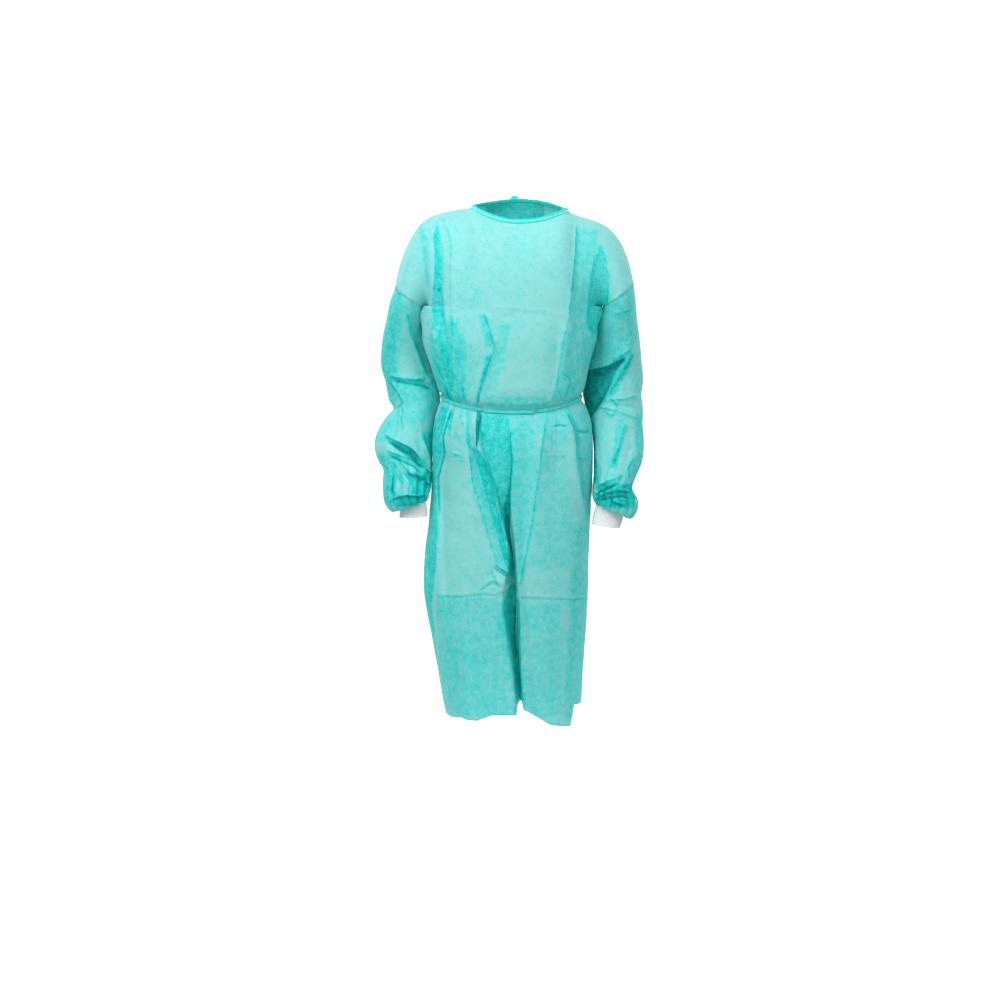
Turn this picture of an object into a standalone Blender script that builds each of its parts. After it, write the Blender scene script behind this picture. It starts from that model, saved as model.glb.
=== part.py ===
"""Isolation gown, worn and belted, as hollow walls of cloth with nobody inside.

Frame: metres, +Z up. +X is the viewer's right and -Y the front. The origin is the middle of the
neck opening, level with the point where the neck meets the shoulder seam.
All the sizes below are millimetres, and a drop is measured down from the origin.
"""
import bpy
import numpy as np

MM = 0.001
WALL = 1.2  # thickness of each cloth wall
SEAM = 0.3  # gap between two pieces at a seam

SQUARENESS = 2.4  # 2 gives round body sections, more gives squarer ones
LEAN_POWER = 5  # a fold is pushed forward or back, and sideways only close to the sides
PIT_DROP = 200  # level where the sleeves leave the body
BELT_ROW = 400
HEM_ROW = 1020
BELT_SIDE_DROP = 385  # the belt dips from here at the sides
BELT_FRONT_DIP = 26
BELT_BACK_DIP = -8
HEM_EASE_FROM = 600  # below this row the rows lean towards the hem's own line

# Body sections: drop of the row, then how far the wall stands from the middle on each side
SECTIONS = np.array([
    # drop left right front back
    (200, 175, 166, 128, 116),
    (235, 185, 166, 131, 118),
    (270, 187, 166, 132, 119),
    (305, 180, 158, 130, 119),
    (340, 170, 150, 129, 118),
    (368, 162, 146, 127, 116),
    (386, 156, 141, 120, 110),
    (395, 150, 136, 109, 101),
    (405, 150, 136, 109, 101),
    (416, 155, 144, 116, 107),
    (440, 163, 155, 125, 117),
    (480, 168, 160, 131, 128),
    (530, 166, 160, 134, 137),
    (590, 168, 158, 137, 142),
    (650, 177, 155, 140, 145),
    (710, 185, 153, 143, 147),
    (780, 186, 151, 147, 149),
    (850, 174, 148, 151, 151),
    (930, 160, 143, 155, 153),
    (1020, 143, 138, 160, 156),
], float)

# Fold lines: how far to the right each runs at these drops
LINE_DROPS = (200, 400, 490, 590, 700, 800, 900, 1020)
FRONT_LINES = {
    "side_band": (-160, -141, -160, -168, -172, -166, -152, -132),
    "side_pleat": (-150, -129, -147, -157, -154, -148, -138, -121),
    "side_pleat_foot": (-142, -122, -139, -148, -144, -137, -127, -111),
    "tuck": (-116, -103, -94, -102, -104, -104, -102, -95),
    "tuck_foot": (-104, -94, -84, -88, -78, -84, -84, -76),
    "bright_band": (-90, -86, -78, -64, -40, -56, -54, -46),
    "left_lip": (-72, -75, -69, -36, -14, -28, -10, 3),
    "left_wall": (-58, -66, -58, -28, -9, -14, -4, 6),
    "valley": (-34, -40, -34, -19, -5, -3, 1, 10),
    "right_wall": (-18, -22, -12, -13, -1, 4, 6, 14),
    "right_lip": (-4, -10, -4, -7, 3, 10, 12, 18),
    "right_flat": (24, 24, 22, 16, 17, 26, 34, 46),
    "shallow_ridge": (54, 62, 52, 42, 36, 44, 56, 68),
    "right_dip": (84, 82, 84, 82, 78, 78, 82, 88),
    "right_pleat": (110, 98, 119, 132, 128, 120, 112, 104),
    "right_pleat_foot": (130, 114, 134, 144, 141, 136, 128, 118),
}
NECK_FRONT_LINES = ("bright_band", "right_pleat")  # the neck opening's two corners lie on these

# How far each fold line is pushed out of the plain section, and the drop of its hem
PUSH_DROPS = (0, 100, 200, 300, 400, 440, 490, 590, 700, 800, 900, 1020)
FRONT_PUSH = {
    "side_band": (0, 3, 5, 3, 0, 3, 4, 4, 3, 2, 0, 0),
    "side_pleat": (0, -3, -5, -2, 0, 5, 9, 9, 6, 4, 2, 2),
    "side_pleat_foot": (0, 2, 2, 0, 0, -3, -6, -6, -4, -2, -1, -2),
    "tuck": (0, 1, 1, 2, 0, 5, 5, 1, 0, 2, 4, 8),
    "tuck_foot": (0, 0, 0, 0, 0, -3, -4, -2, 0, 0, 0, 3),
    "bright_band": (0, 0, 0, 0, 0, 4, 7, 6, 6, 5, 3, 2),
    "left_lip": (0, 0, 1, 3, 0, 6, 10, 11, 10, 10, 11, 13),
    "left_wall": (0, 0, 0, 1, 0, -3, -7, -14, -22, -32, -48, -66),
    "valley": (0, 0, 0, -2, 0, -2, -6, -16, -28, -42, -60, -82),
    "right_wall": (0, 0, 0, -1, 0, -2, -6, -14, -22, -32, -48, -66),
    "right_lip": (0, 0, 0, 0, 0, 3, 6, 8, 9, 10, 11, 13),
    "right_flat": (0, 0, 0, 1, 0, -1, 0, 2, 3, 4, 5, 6),
    "shallow_ridge": (0, 0, 0, 2, 0, 4, 5, 4, 3, 3, 4, 8),
    "right_dip": (0, 0, 0, -1, 0, -2, -3, -2, -1, 0, 2, 7),
    "right_pleat": (0, 2, 3, 3, 0, 5, 8, 7, 4, 3, 4, 6),
    "right_pleat_foot": (0, -3, -5, -3, 0, -3, -4, -2, 0, 0, 0, 1),
}
HEM_SIDES = (1012, 1008)  # left and right
FRONT_HEM = {
    "side_band": 1014, "side_pleat": 1018, "side_pleat_foot": 1020, "tuck": 1025, "tuck_foot": 1026,
    "bright_band": 1019, "left_lip": 1011, "left_wall": 1004, "valley": 1000, "right_wall": 998,
    "right_lip": 1002, "right_flat": 1020, "shallow_ridge": 1035, "right_dip": 1041,
    "right_pleat": 1041, "right_pleat_foot": 1026,
}

# The back's lines run from the right side to the left. Two of them are the free edges of the lap.
BACK_LINES = {
    "right_back_edge": (142, 120, 143, 142, 139, 136, 130, 122),
    "right_back_fold": (110, 98, 118, 120, 118, 116, 112, 106),
    "right_back_dip": (86, 76, 90, 92, 90, 88, 86, 84),
    "under_edge": (58, 52, 60, 62, 60, 58, 58, 60),
    "right_lap_fold": (32, 28, 34, 34, 32, 28, 28, 30),
    "lap_dip": (4, 4, 4, 2, -2, -6, -4, 0),
    "left_lap_fold": (-26, -22, -28, -32, -38, -42, -38, -30),
    "outer_edge": (-58, -52, -62, -66, -70, -72, -66, -56),
    "left_back_dip": (-90, -80, -94, -98, -104, -104, -96, -82),
    "left_back_fold": (-122, -108, -124, -128, -138, -136, -124, -106),
    "left_back_edge": (-150, -132, -150, -154, -164, -162, -146, -126),
}
BACK_PUSH = {
    "right_back_edge": (0, -2, -3, -2, 0, -3, -5, -4, -2, 0, 0, 0),
    "right_back_fold": (0, 1, 3, 3, 0, 5, 9, 9, 8, 8, 9, 11),
    "right_back_dip": (0, 0, 0, 0, 0, -3, -6, -6, -6, -6, -7, -9),
    "under_edge": (0, 0, 0, 2, 0, 3, 5, 5, 6, 7, 8, 10),
    "right_lap_fold": (0, 0, 0, 1, 0, 1, 2, 2, 2, 2, 3, 4),
    "lap_dip": (0, 0, -2, -3, 0, -3, -5, -6, -7, -8, -9, -10),
    "left_lap_fold": (0, 0, 0, 1, 0, 3, 6, 8, 8, 9, 10, 12),
    "outer_edge": (0, 0, 0, 0, 0, -1, -3, -3, -3, -3, -4, -5),
    "left_back_dip": (0, 0, 0, 0, 0, -3, -6, -8, -9, -10, -11, -14),
    "left_back_fold": (0, 2, 4, 4, 0, 6, 9, 8, 6, 5, 6, 8),
    "left_back_edge": (0, -2, -3, -2, 0, -3, -4, -2, 0, 0, 0, 0),
}
BACK_HEM = {
    "right_back_edge": 1006, "right_back_fold": 1010, "right_back_dip": 1004, "under_edge": 1008,
    "right_lap_fold": 1010, "lap_dip": 1006, "left_lap_fold": 1012, "outer_edge": 1006,
    "left_back_dip": 1002, "left_back_fold": 1012, "left_back_edge": 1010,
}
NECK_BACK_LINES = ("right_back_fold", "left_back_dip")
LAP_LIFT = 3  # how far the outer back half lies outside the under one
LAP_EASE_COLUMNS = 4
PARTS = 2  # columns of cloth from one fold line to the next

# Neck opening: an ellipse seen from above, that dips in front and rises behind
NECK_MIDDLE = 10
NECK_HALF_WIDTH = 100
NECK_FRONT_DEPTH = 76
NECK_BACK_DEPTH = 70
NECK_FRONT_DROP = 35
NECK_BACK_RISE = 11
NECK_SIDE_DROPS = (3, 11)  # left and right corner
BINDING_WIDTH = 8
BINDING_THICKNESS = 2.0
BINDING_OUT = 0.5  # its outer face stands this far outside the cloth
BINDING_CROWN = 0.4
BINDING_GAP = 0.5
BINDING_LEAN = 0.55  # how far it goes inwards for each unit that it rises

# Shoulder seams from the neck's corner to the armhole: outward distance and drop
SHOULDER_LEFT = np.array([
    (90, 3), (125, 8), (156, 15), (180, 26), (198, 43), (213, 67), (232, 112), (245, 166),
], float)
SHOULDER_RIGHT = np.array([
    (110, 11), (140, 22), (164, 29), (192, 44), (215, 72), (233, 115), (243, 158),
], float)
UNDERARM = {"left": (188, 202), "right": (181, 202)}  # inner end of the armhole: outward distance, drop
ARM_BULGE = 65  # how far the cap stands forward and back of the shoulder seam
PULL_PER_BULGE = 4  # a cubic curve between two opposite pulls stands out by a quarter of them
YOKE_ROWS = 8
SEAM_FALL = 30  # downward pull of the yoke's curves where they leave the shoulder seam
NECK_FALL = 100  # and how much more of it they have where they leave the neck edge
NECK_FLATTER = 150  # how much less outward pull they have there
CHEST_FALL = 180  # downward pull where they arrive at the pit row
SIDE_POWER = 8  # how closely the bulge keeps to the sides
CAP_COLUMNS = 5

# Sleeve rings: drop and outward distance of the outer and the inner point, then front and back reach
SLEEVE_LEFT = np.array([
    # drop_out out drop_in in front back
    (190, 254, 214, 190, 60, 72),
    (235, 265, 240, 188.5, 44, 90),
    (280, 274, 275, 184, 28, 106),
    (323, 275, 312, 175, 16, 114),
    (360, 266, 346, 165, 14, 112),
    (392, 259, 380, 157, 20, 105),
    (412, 250, 402, 157, 26, 96),
    (432, 266, 422, 163, 36, 86),
    (466, 284, 456, 170, 52, 70),
    (490, 286, 486, 172, 66, 54),
    (516, 277, 516, 172, 80, 40),
    (532, 266, 542, 173, 92, 26),
    (562, 265, 570, 174, 106, 8),
    (592, 263, 581, 175, 112, -8),
    (612, 252, 589, 176, 108, -14),
    (609, 240, 588, 178, 97, -28),
], float)
SLEEVE_RIGHT = np.array([
    (184, 246, 214, 181, 60, 72),
    (228, 251, 240, 170, 44, 90),
    (272, 258, 275, 167, 28, 106),
    (315, 263, 312, 158, 16, 114),
    (352, 265, 346, 150, 14, 112),
    (384, 261, 378, 145, 20, 105),
    (412, 264, 404, 149, 26, 96),
    (449, 264, 440, 160, 42, 80),
    (491, 265, 480, 164, 62, 58),
    (520, 260, 514, 164, 78, 42),
    (545, 248, 542, 164, 92, 26),
    (568, 238, 566, 162, 104, 10),
    (592, 247, 582, 160, 112, -4),
    (612, 246, 591, 160, 112, -9),
    (627, 237, 595, 161, 108, -14),
    (623, 229, 594, 162, 97, -27),
], float)
# Cuff rings, in the same columns
CUFF_LEFT = np.array([
    (580, 231, 580, 181, 82, -40),
    (594, 232, 593, 180, 85, -39),
    (611, 233, 609, 178, 88, -38),
    (627, 234, 624, 176, 90, -38),
], float)
CUFF_RIGHT = np.array([
    (594, 222, 586, 168, 82, -38),
    (611, 223, 600, 165, 85, -37),
    (630, 219, 620, 160, 88, -37),
    (648, 214, 640, 155, 90, -38),
], float)
CUFF_SEAM_ROW = 1  # the sleeve ends against this ring of the cuff
CUFF_WALL = 1.6
CUFF_COLUMNS = 32
GATHERS = 16
GATHER_ROWS = (0.8, 1.6, 2.2, 2.2, 1.6, 1.0)  # depth on the last rings of a sleeve

BELT_HEIGHT = 7
BELT_THICKNESS = 2.2
BELT_GAP = 0.6  # the cloth under it isn't quite flat
BELT_SHARE = 0.15  # share of the space between the two rows beside it that it leaves at each edge

# The ties at the back, which the photo hides: knots, and tails that lie on the cloth below them
KNOT_ROWS = 5
KNOT_COLUMNS = 10
KNOT_ROUND = 72  # degrees of latitude that a knot's rows reach before its flat ends
TAIL_WIDTH = 7
TAIL_THICKNESS = 1.6
# A knot's distance to the right, how far it is out from and above the tape, and half its three sizes
BELT_KNOT = (4, 0.3, 0, (13, 5, 7))
NECK_KNOT = (0, -1.8, 5.5, (9, 4, 5))
# Stations of each tail: row of cloth, distance to the right, how far off the cloth, how far raised
BELT_TAILS = {
    "belt_tail_right": (
        (8.6, 9, 5.6, 0), (9, 10, 2.6, 0), (10, 14, 0.5, 0), (11, 19, 0.5, 0), (12, 22, 0.5, 0)),
    "belt_tail_left": (
        (8.6, -1, 5.6, 0), (9, -2, 2.6, 0), (10, -6, 0.5, 0), (11, -12, 0.5, 0), (12, -19, 0.5, 0)),
}
NECK_TAILS = {
    "neck_tail_right": ((0.05, 4, 1.2, 3.6), (1, 6, 0.5, 0), (2, 9, 0.5, 0), (3, 14, 0.5, 0)),
    "neck_tail_left": ((0.05, -4.5, 1.2, 3.6), (1, -8, 0.5, 0), (2, -13, 0.5, 0), (2.8, -16, 0.5, 0)),
}

CLOTH = (0.22, 0.72, 0.66, 1)
CLOTH_DENSE = (0.05, 0.60, 0.54, 1)
KNIT = (0.88, 0.88, 0.90, 1)


def smooth(at, knots, values):
    """A curve through the values: a cubic between two knots, with each knot's slope from its neighbours."""
    knots = np.asarray(knots, float)
    values = np.asarray(values, float)
    slopes = np.gradient(values, knots, axis=0)
    at = np.clip(np.asarray(at, float), knots[0], knots[-1])
    i = np.clip(np.searchsorted(knots, at) - 1, 0, len(knots) - 2)
    span = knots[i + 1] - knots[i]
    t = (at - knots[i]) / span
    if values.ndim > 1:
        span = span[..., None]
        t = t[..., None]
    low = (2 * t**3 - 3 * t**2 + 1) * values[i] + (t**3 - 2 * t**2 + t) * span * slopes[i]
    return low + (3 * t**2 - 2 * t**3) * values[i + 1] + (t**3 - t**2) * span * slopes[i + 1]


def ease(t):
    """0 to 1 with level ends."""
    t = np.clip(t, 0, 1)
    return t * t * (3 - 2 * t)


def half_width(drop, x):
    """Reach of the body section on x's side."""
    left = smooth(drop, SECTIONS[:, 0], SECTIONS[:, 1])
    right = smooth(drop, SECTIONS[:, 0], SECTIONS[:, 2])
    return np.where(x < 0, left, right)


def columns(lines, push, hem, first_angle):
    """Each column of cloth: its angle round the section and push at every row, and its hem drop.

    Angles are turned from the lines' distances, with PARTS columns eased in from line to line.
    """
    rows = SECTIONS[:, 0]
    angle = [np.full(len(rows), first_angle)]
    out = [np.zeros(len(PUSH_DROPS))]
    ends = [HEM_SIDES[0 if first_angle < 0 else 1]]
    for name, xs in lines.items():
        x = smooth(rows, LINE_DROPS, xs)
        share = np.clip(np.abs(x) / half_width(rows, x), 0, 1)
        angle.append(np.sign(x) * np.arcsin(share ** (SQUARENESS / 2)))
        out.append(np.array(push[name], float))
        ends.append(hem[name])
    angle.append(np.full(len(rows), -first_angle))
    out.append(np.zeros(len(PUSH_DROPS)))
    ends.append(HEM_SIDES[1 if first_angle < 0 else 0])
    at = np.arange((len(angle) - 1) * PARTS + 1) / PARTS
    i = np.minimum(at.astype(int), len(angle) - 2)
    f = at - i
    angle = np.array(angle)
    out = np.array(out)
    ends = np.array(ends, float)
    f2 = f[:, None]
    return (
        angle[i] * (1 - f2) + angle[i + 1] * f2,
        out[i] * (1 - ease(f2)) + out[i + 1] * ease(f2),
        ends[i] * (1 - f) + ends[i + 1] * f,
    )


def body_rows(angle, out, ends, side):
    """Points of the rows from the underarm to the hem. side is -1 for the front and 1 for the back."""
    rows = SECTIONS[:, 0]
    sine = np.sin(angle)
    cosine = np.cos(angle)
    x = np.sign(sine) * half_width(rows, sine) * np.abs(sine) ** (2 / SQUARENESS)
    depth = SECTIONS[:, 3 if side < 0 else 4]
    y = side * depth * np.maximum(cosine, 0) ** (2 / SQUARENESS)
    pushed = np.array([smooth(rows, PUSH_DROPS, p) for p in out])
    lean = sine**LEAN_POWER
    length = np.hypot(lean, cosine)
    x = x + pushed * lean / length
    y = y + pushed * side * cosine / length
    dip = BELT_FRONT_DIP if side < 0 else BELT_BACK_DIP
    belt = BELT_SIDE_DROP + dip * cosine**2 - BELT_ROW
    near = ease(1 - np.abs(rows - BELT_ROW) / (BELT_ROW - PIT_DROP))
    low = ease((rows - HEM_EASE_FROM) / (HEM_ROW - HEM_EASE_FROM))
    drop = rows + belt * near + (ends[:, None] - HEM_ROW) * low
    return np.stack([x, y, -drop], -1).transpose(1, 0, 2)


def shoulder(x):
    """Drop of the shoulder seam at x."""
    left = smooth(-x, SHOULDER_LEFT[:, 0], SHOULDER_LEFT[:, 1])
    right = smooth(x, SHOULDER_RIGHT[:, 0], SHOULDER_RIGHT[:, 1])
    return np.where(x < 0, left, right)


def neck(x, side):
    """Point of the neck edge at x, and how far it is from the corners: 0 there, 1 in the middle."""
    bow = np.clip(1 - ((x - NECK_MIDDLE) / NECK_HALF_WIDTH) ** 2, 0, 1)
    depth = NECK_FRONT_DEPTH if side < 0 else NECK_BACK_DEPTH
    right_share = (x - NECK_MIDDLE + NECK_HALF_WIDTH) / (2 * NECK_HALF_WIDTH)
    corner = NECK_SIDE_DROPS[0] * (1 - right_share) + NECK_SIDE_DROPS[1] * right_share
    middle = NECK_FRONT_DROP if side < 0 else -NECK_BACK_RISE
    return np.stack([x, side * depth * np.sqrt(bow), -(corner * (1 - bow) + middle * bow)], -1), bow


def hermite(start, start_pull, end, end_pull, count):
    """Rows of cubic curves from start to end, leaving and arriving along the two pulls."""
    t = np.linspace(0, 1, count + 1)[:, None, None]
    head = (2 * t**3 - 3 * t**2 + 1) * start + (t**3 - 2 * t**2 + t) * start_pull
    return head + (3 * t**2 - 2 * t**3) * end + (t**3 - t**2) * end_pull


def yoke(angle, out, pit, side):
    """Rows from the neck edge and shoulder seams down to the pit row."""
    x = pit[:, 0]
    on_neck, bow = neck(x, side)
    on_seam = np.stack([x, 0 * x, -shoulder(x)], -1)
    top = np.where(bow[:, None] > 1e-9, on_neck, on_seam)
    sideways = np.abs(np.sin(angle[:, 0])) ** SIDE_POWER
    pull = PULL_PER_BULGE * ARM_BULGE
    fall = SEAM_FALL * (1 - sideways) + NECK_FALL * bow
    start = np.stack([0 * x, side * (pull - NECK_FLATTER * bow), -fall], -1)
    end = np.stack([0 * x, -side * pull * sideways, -CHEST_FALL * (1 - sideways)], -1)
    grid = hermite(top, start, pit, end, YOKE_ROWS)
    at = np.linspace(0, PIT_DROP, YOKE_ROWS + 1)
    pushed = np.array([smooth(at, PUSH_DROPS, p) for p in out]).T - out[:, 2] * (at[:, None] / PIT_DROP)
    grid[..., 1] += side * pushed
    return grid


def cap(which, side):
    """Columns that carry the body over the shoulder to the armhole, from the body's side outwards."""
    sign = -1 if which == "left" else 1
    seam = SHOULDER_LEFT if sign < 0 else SHOULDER_RIGHT
    start_x = SECTIONS[0, 1 if sign < 0 else 2]
    share = np.linspace(0, 1, CAP_COLUMNS + 1)[1:]
    run = np.concatenate([[0], np.cumsum(np.hypot(*np.diff(seam, axis=0).T))])
    first = np.interp(start_x, seam[:, 0], run)
    over = smooth(first + (run[-1] - first) * share, run, seam)
    top = np.stack([sign * over[:, 0], 0 * share, -over[:, 1]], -1)
    end_x, end_drop = UNDERARM[which]
    low_x = start_x + (end_x - start_x) * share
    low = np.stack([sign * low_x, 0 * share, -(PIT_DROP + (end_drop - PIT_DROP) * share)], -1)
    pull = np.array([0, side * PULL_PER_BULGE * ARM_BULGE, 0])
    return hermite(top, pull, low, -pull, YOKE_ROWS)


def vertex_normals(grid, cells, round_trip=False):
    """Each point's normal: the mean of the normals of the cells round it."""
    rolled = np.roll(grid, -1, axis=1) if round_trip else grid[:, 1:]
    here = grid if round_trip else grid[:, :-1]
    face = np.cross(rolled[1:] - here[:-1], rolled[:-1] - here[1:])
    face *= cells[..., None] / np.maximum(np.linalg.norm(face, axis=-1, keepdims=True), 1e-9)
    total = np.zeros_like(grid)
    last = None if round_trip else -1
    total[:-1, :last] += face
    total[1:, :last] += face
    if round_trip:
        total[:-1] += np.roll(face, 1, axis=1)
        total[1:] += np.roll(face, 1, axis=1)
    else:
        total[:-1, 1:] += face
        total[1:, 1:] += face
    return unit(total)


def unit(vectors):
    """The vectors at length 1."""
    return vectors / np.maximum(np.linalg.norm(vectors, axis=-1, keepdims=True), 1e-9)


def add_object(name, points, faces, material):
    """A named object with its own material, from points in millimetres."""
    mesh = bpy.data.meshes.new(name)
    mesh.from_pydata((points * MM).tolist(), [], faces)
    mesh.validate()
    mesh.update()
    piece = bpy.data.objects.new(name, mesh)
    garment.objects.link(piece)
    mesh.materials.append(material)
    mesh.shade_smooth()
    return piece


def add_wall(name, outer, inner, cells, material, mirrored=False):
    """A closed wall between two grids, with a rim along every open edge of its cells.

    A mirrored wall's columns run the other way round, so its faces are turned over.
    """
    rows, width = outer.shape[:2]
    shift = rows * width
    faces = []
    rims = {}
    for r, c in np.argwhere(cells).tolist():
        d = (c + 1) % width
        corners = [r * width + c, (r + 1) * width + c, (r + 1) * width + d, r * width + d]
        faces.append(corners)
        faces.append([n + shift for n in reversed(corners)])
        for a, b in zip(corners, corners[1:] + corners[:1]):
            if rims.pop((b, a), None) is None:
                rims[a, b] = True
    for a, b in rims:
        faces.append([b, a, a + shift, b + shift])
    points = np.concatenate([outer.reshape(-1, 3), inner.reshape(-1, 3)])
    used = np.unique([n for face in faces for n in face])
    renumber = {int(n): i for i, n in enumerate(used)}
    step = -1 if mirrored else 1
    faces = [[renumber[n] for n in face][::step] for face in faces]
    return add_object(name, points[used], faces, material)


def add_ring(name, grid, material):
    """A closed solid from a grid that runs round both ways."""
    rows, width = grid.shape[:2]
    numbers = np.arange(rows * width).reshape(rows, width)
    below = np.roll(numbers, -1, axis=0)
    quads = np.stack([numbers, below, np.roll(below, -1, axis=1), np.roll(numbers, -1, axis=1)], -1)
    return add_object(name, grid.reshape(-1, 3), quads.reshape(-1, 4).tolist(), material)


def make_material(name, colour, roughness):
    """A plain surface of one colour."""
    material = bpy.data.materials.new(name)
    material.use_nodes = True
    shader = material.node_tree.nodes["Principled BSDF"]
    shader.inputs["Base Color"].default_value = colour
    shader.inputs["Roughness"].default_value = roughness
    shader.inputs["Metallic"].default_value = 0
    return material


def line_column(lines, name):
    """Number of the column that a fold line is, on a panel with its shoulder caps."""
    return CAP_COLUMNS + PARTS * (list(lines).index(name) + 1)


def panel(lines, push, hem, side):
    """Grid of a body panel with its shoulder caps, which of its cells exist, and its seam points."""
    start_angle = -np.pi / 2 if side < 0 else np.pi / 2
    angle, out, ends = columns(lines, push, hem, start_angle)
    body = body_rows(angle, out, ends, side)
    grid = np.concatenate([yoke(angle, out, body[0], side)[:-1], body])
    cells = np.ones((len(grid) - 1, grid.shape[1] - 1), bool)
    seam = np.zeros(grid.shape[:2], bool)
    seam[0] = neck(grid[0, :, 0], side)[1] < 1e-6
    seam[YOKE_ROWS:, [0, -1]] = True
    start_cap, end_cap = ("left", "right") if side < 0 else ("right", "left")
    grid, cells, seam = join_cap(grid, cells, seam, cap(start_cap, side)[:, ::-1], True)
    return join_cap(grid, cells, seam, cap(end_cap, side), False)


def add_panel(name, grid, cells, seam, side, material):
    """A body panel's wall, half a seam clear of the middle plane along its seams."""
    grid = grid.copy()
    normals = vertex_normals(grid, cells)
    grid[seam, 1] = side * SEAM / 2
    normals[seam, 1] = 0
    inner = grid - WALL * unit(normals)
    add_wall(name, grid, inner, cells, material)
    return grid, inner


def join_cap(grid, cells, seam, wing, before):
    """The panel's grid with a cap's columns at its start or its end."""
    rows = len(grid)
    padded = np.repeat(wing[-1:], rows, axis=0)
    padded[:YOKE_ROWS + 1] = wing
    there = np.zeros((rows - 1, wing.shape[1]), bool)
    there[:YOKE_ROWS] = True
    sewn = np.zeros((rows, wing.shape[1]), bool)
    sewn[0] = True
    sewn[YOKE_ROWS] = True
    pairs = ((grid, padded), (cells, there), (seam, sewn))
    return [np.concatenate(pair[::-1] if before else pair, axis=1) for pair in pairs]


def sleeve_ring(row, sign, count):
    """Points of one sleeve or cuff ring: outer side, front, inner side, back."""
    drop_out, out, drop_in, inner, front, back = row
    outer_point = np.array([sign * out, 0, -drop_out])
    inner_point = np.array([sign * inner, 0, -drop_in])
    turn = np.arange(count)[:, None] * 2 * np.pi / count
    middle = (outer_point + inner_point) / 2 + np.array([0, (back - front) / 2, 0])
    forward = np.array([0, -(front + back) / 2, 0])
    return middle + (outer_point - inner_point) / 2 * np.cos(turn) + forward * np.sin(turn)


def armhole(front_edge, back_edge):
    """The closed loop of an armhole from the front's and back's edges, with a point added halfway."""
    ends = (front_edge + back_edge) / 2
    loop = np.concatenate([ends[:1], front_edge[1:-1], ends[-1:], back_edge[-2:0:-1]])
    halfway = (loop + np.roll(loop, -1, axis=0)) / 2
    return np.stack([loop, halfway], 1).reshape(-1, 3)


def add_sleeve(which, loops, rows, cuff, material):
    """A sleeve from the armhole's two loops to the cuff, ending in gathers that turn in to it."""
    sign = -1 if which == "left" else 1
    outer_loop, inner_loop = loops
    count = len(outer_loop)
    spokes = outer_loop - outer_loop.mean(axis=0)
    down = unit(np.cross(spokes, np.roll(spokes, -1, axis=0)).sum(axis=0))
    down = down * -np.sign(down[2])
    rings = [sleeve_ring(row, sign, count) for row in rows]
    turn = np.arange(count) * 2 * np.pi / count
    cuff_ring = sleeve_ring(cuff[CUFF_SEAM_ROW], sign, count)
    away = unit(cuff_ring - cuff_ring.mean(axis=0))
    wave = np.cos(GATHERS * turn)[:, None]
    end = cuff_ring + SEAM * 2 * away
    grid = np.array([outer_loop + SEAM * down] + rings + [end])
    cells = np.ones((len(grid) - 1, count), bool)
    normals = -sign * vertex_normals(grid, cells, True)
    first = len(grid) - 1 - len(GATHER_ROWS)
    for i, depth in enumerate(GATHER_ROWS):
        grid[first + i] += depth * wave * normals[first + i]
    normals = -sign * vertex_normals(grid, cells, True)
    inner = grid - WALL * normals
    inner[0] = inner_loop + SEAM * down
    half_wall = np.array([0, 0, WALL / 2])
    grid[-1] = end - half_wall + wave * half_wall
    inner[-1] = end + half_wall + wave * half_wall
    add_wall("sleeve_" + which, grid, inner, cells, material, sign > 0)


def add_cuff(which, rows, material):
    """A knitted cuff: a short tube that the sleeve is gathered on to."""
    sign = -1 if which == "left" else 1
    grid = np.array([sleeve_ring(row, sign, CUFF_COLUMNS) for row in rows])
    cells = np.ones((len(grid) - 1, CUFF_COLUMNS), bool)
    normals = -sign * vertex_normals(grid, cells, True)
    add_wall("cuff_" + which, grid, grid - CUFF_WALL * normals, cells, material, sign > 0)


def add_binding(loop, material):
    """The tape that binds the neck edge, standing on the panels' top edges all the way round."""
    inward = np.array([NECK_MIDDLE, 0, 0]) - loop
    inward[:, 2] = 0
    rise = unit(unit(inward) * BINDING_LEAN + np.array([0, 0, 1]))
    along = unit(np.roll(loop, -1, axis=0) - np.roll(loop, 1, axis=0))
    out = unit(np.cross(along, rise))
    foot = loop + BINDING_GAP * rise
    head = foot + BINDING_WIDTH * rise
    middle = (foot + head) / 2
    inner_face = BINDING_OUT - BINDING_THICKNESS
    grid = np.array([
        head + inner_face * out,
        head + BINDING_OUT * out,
        middle + (BINDING_OUT + BINDING_CROWN) * out,
        foot + BINDING_OUT * out,
        foot + inner_face * out,
    ])
    add_ring("neck_binding", grid, material)
    return grid[2]


def add_belt(high, low, material):
    """The belt: a flat tape round the waist, over the loops of points just above and below it."""
    top = high + (low - high) * BELT_SHARE
    bottom = low + (high - low) * BELT_SHARE
    run = np.roll(top, -1, axis=0) - np.roll(top, 1, axis=0)
    out = unit(np.stack([-run[:, 1], run[:, 0], 0 * run[:, 0]], -1))
    out = out * np.sign((out * (top - top.mean(axis=0))).sum(axis=-1, keepdims=True))
    face = BELT_GAP + BELT_THICKNESS
    grid = np.array([top + BELT_GAP * out, top + face * out, bottom + face * out, bottom + BELT_GAP * out])
    add_ring("belt", grid, material)
    return grid[1:3].mean(axis=0)


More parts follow.
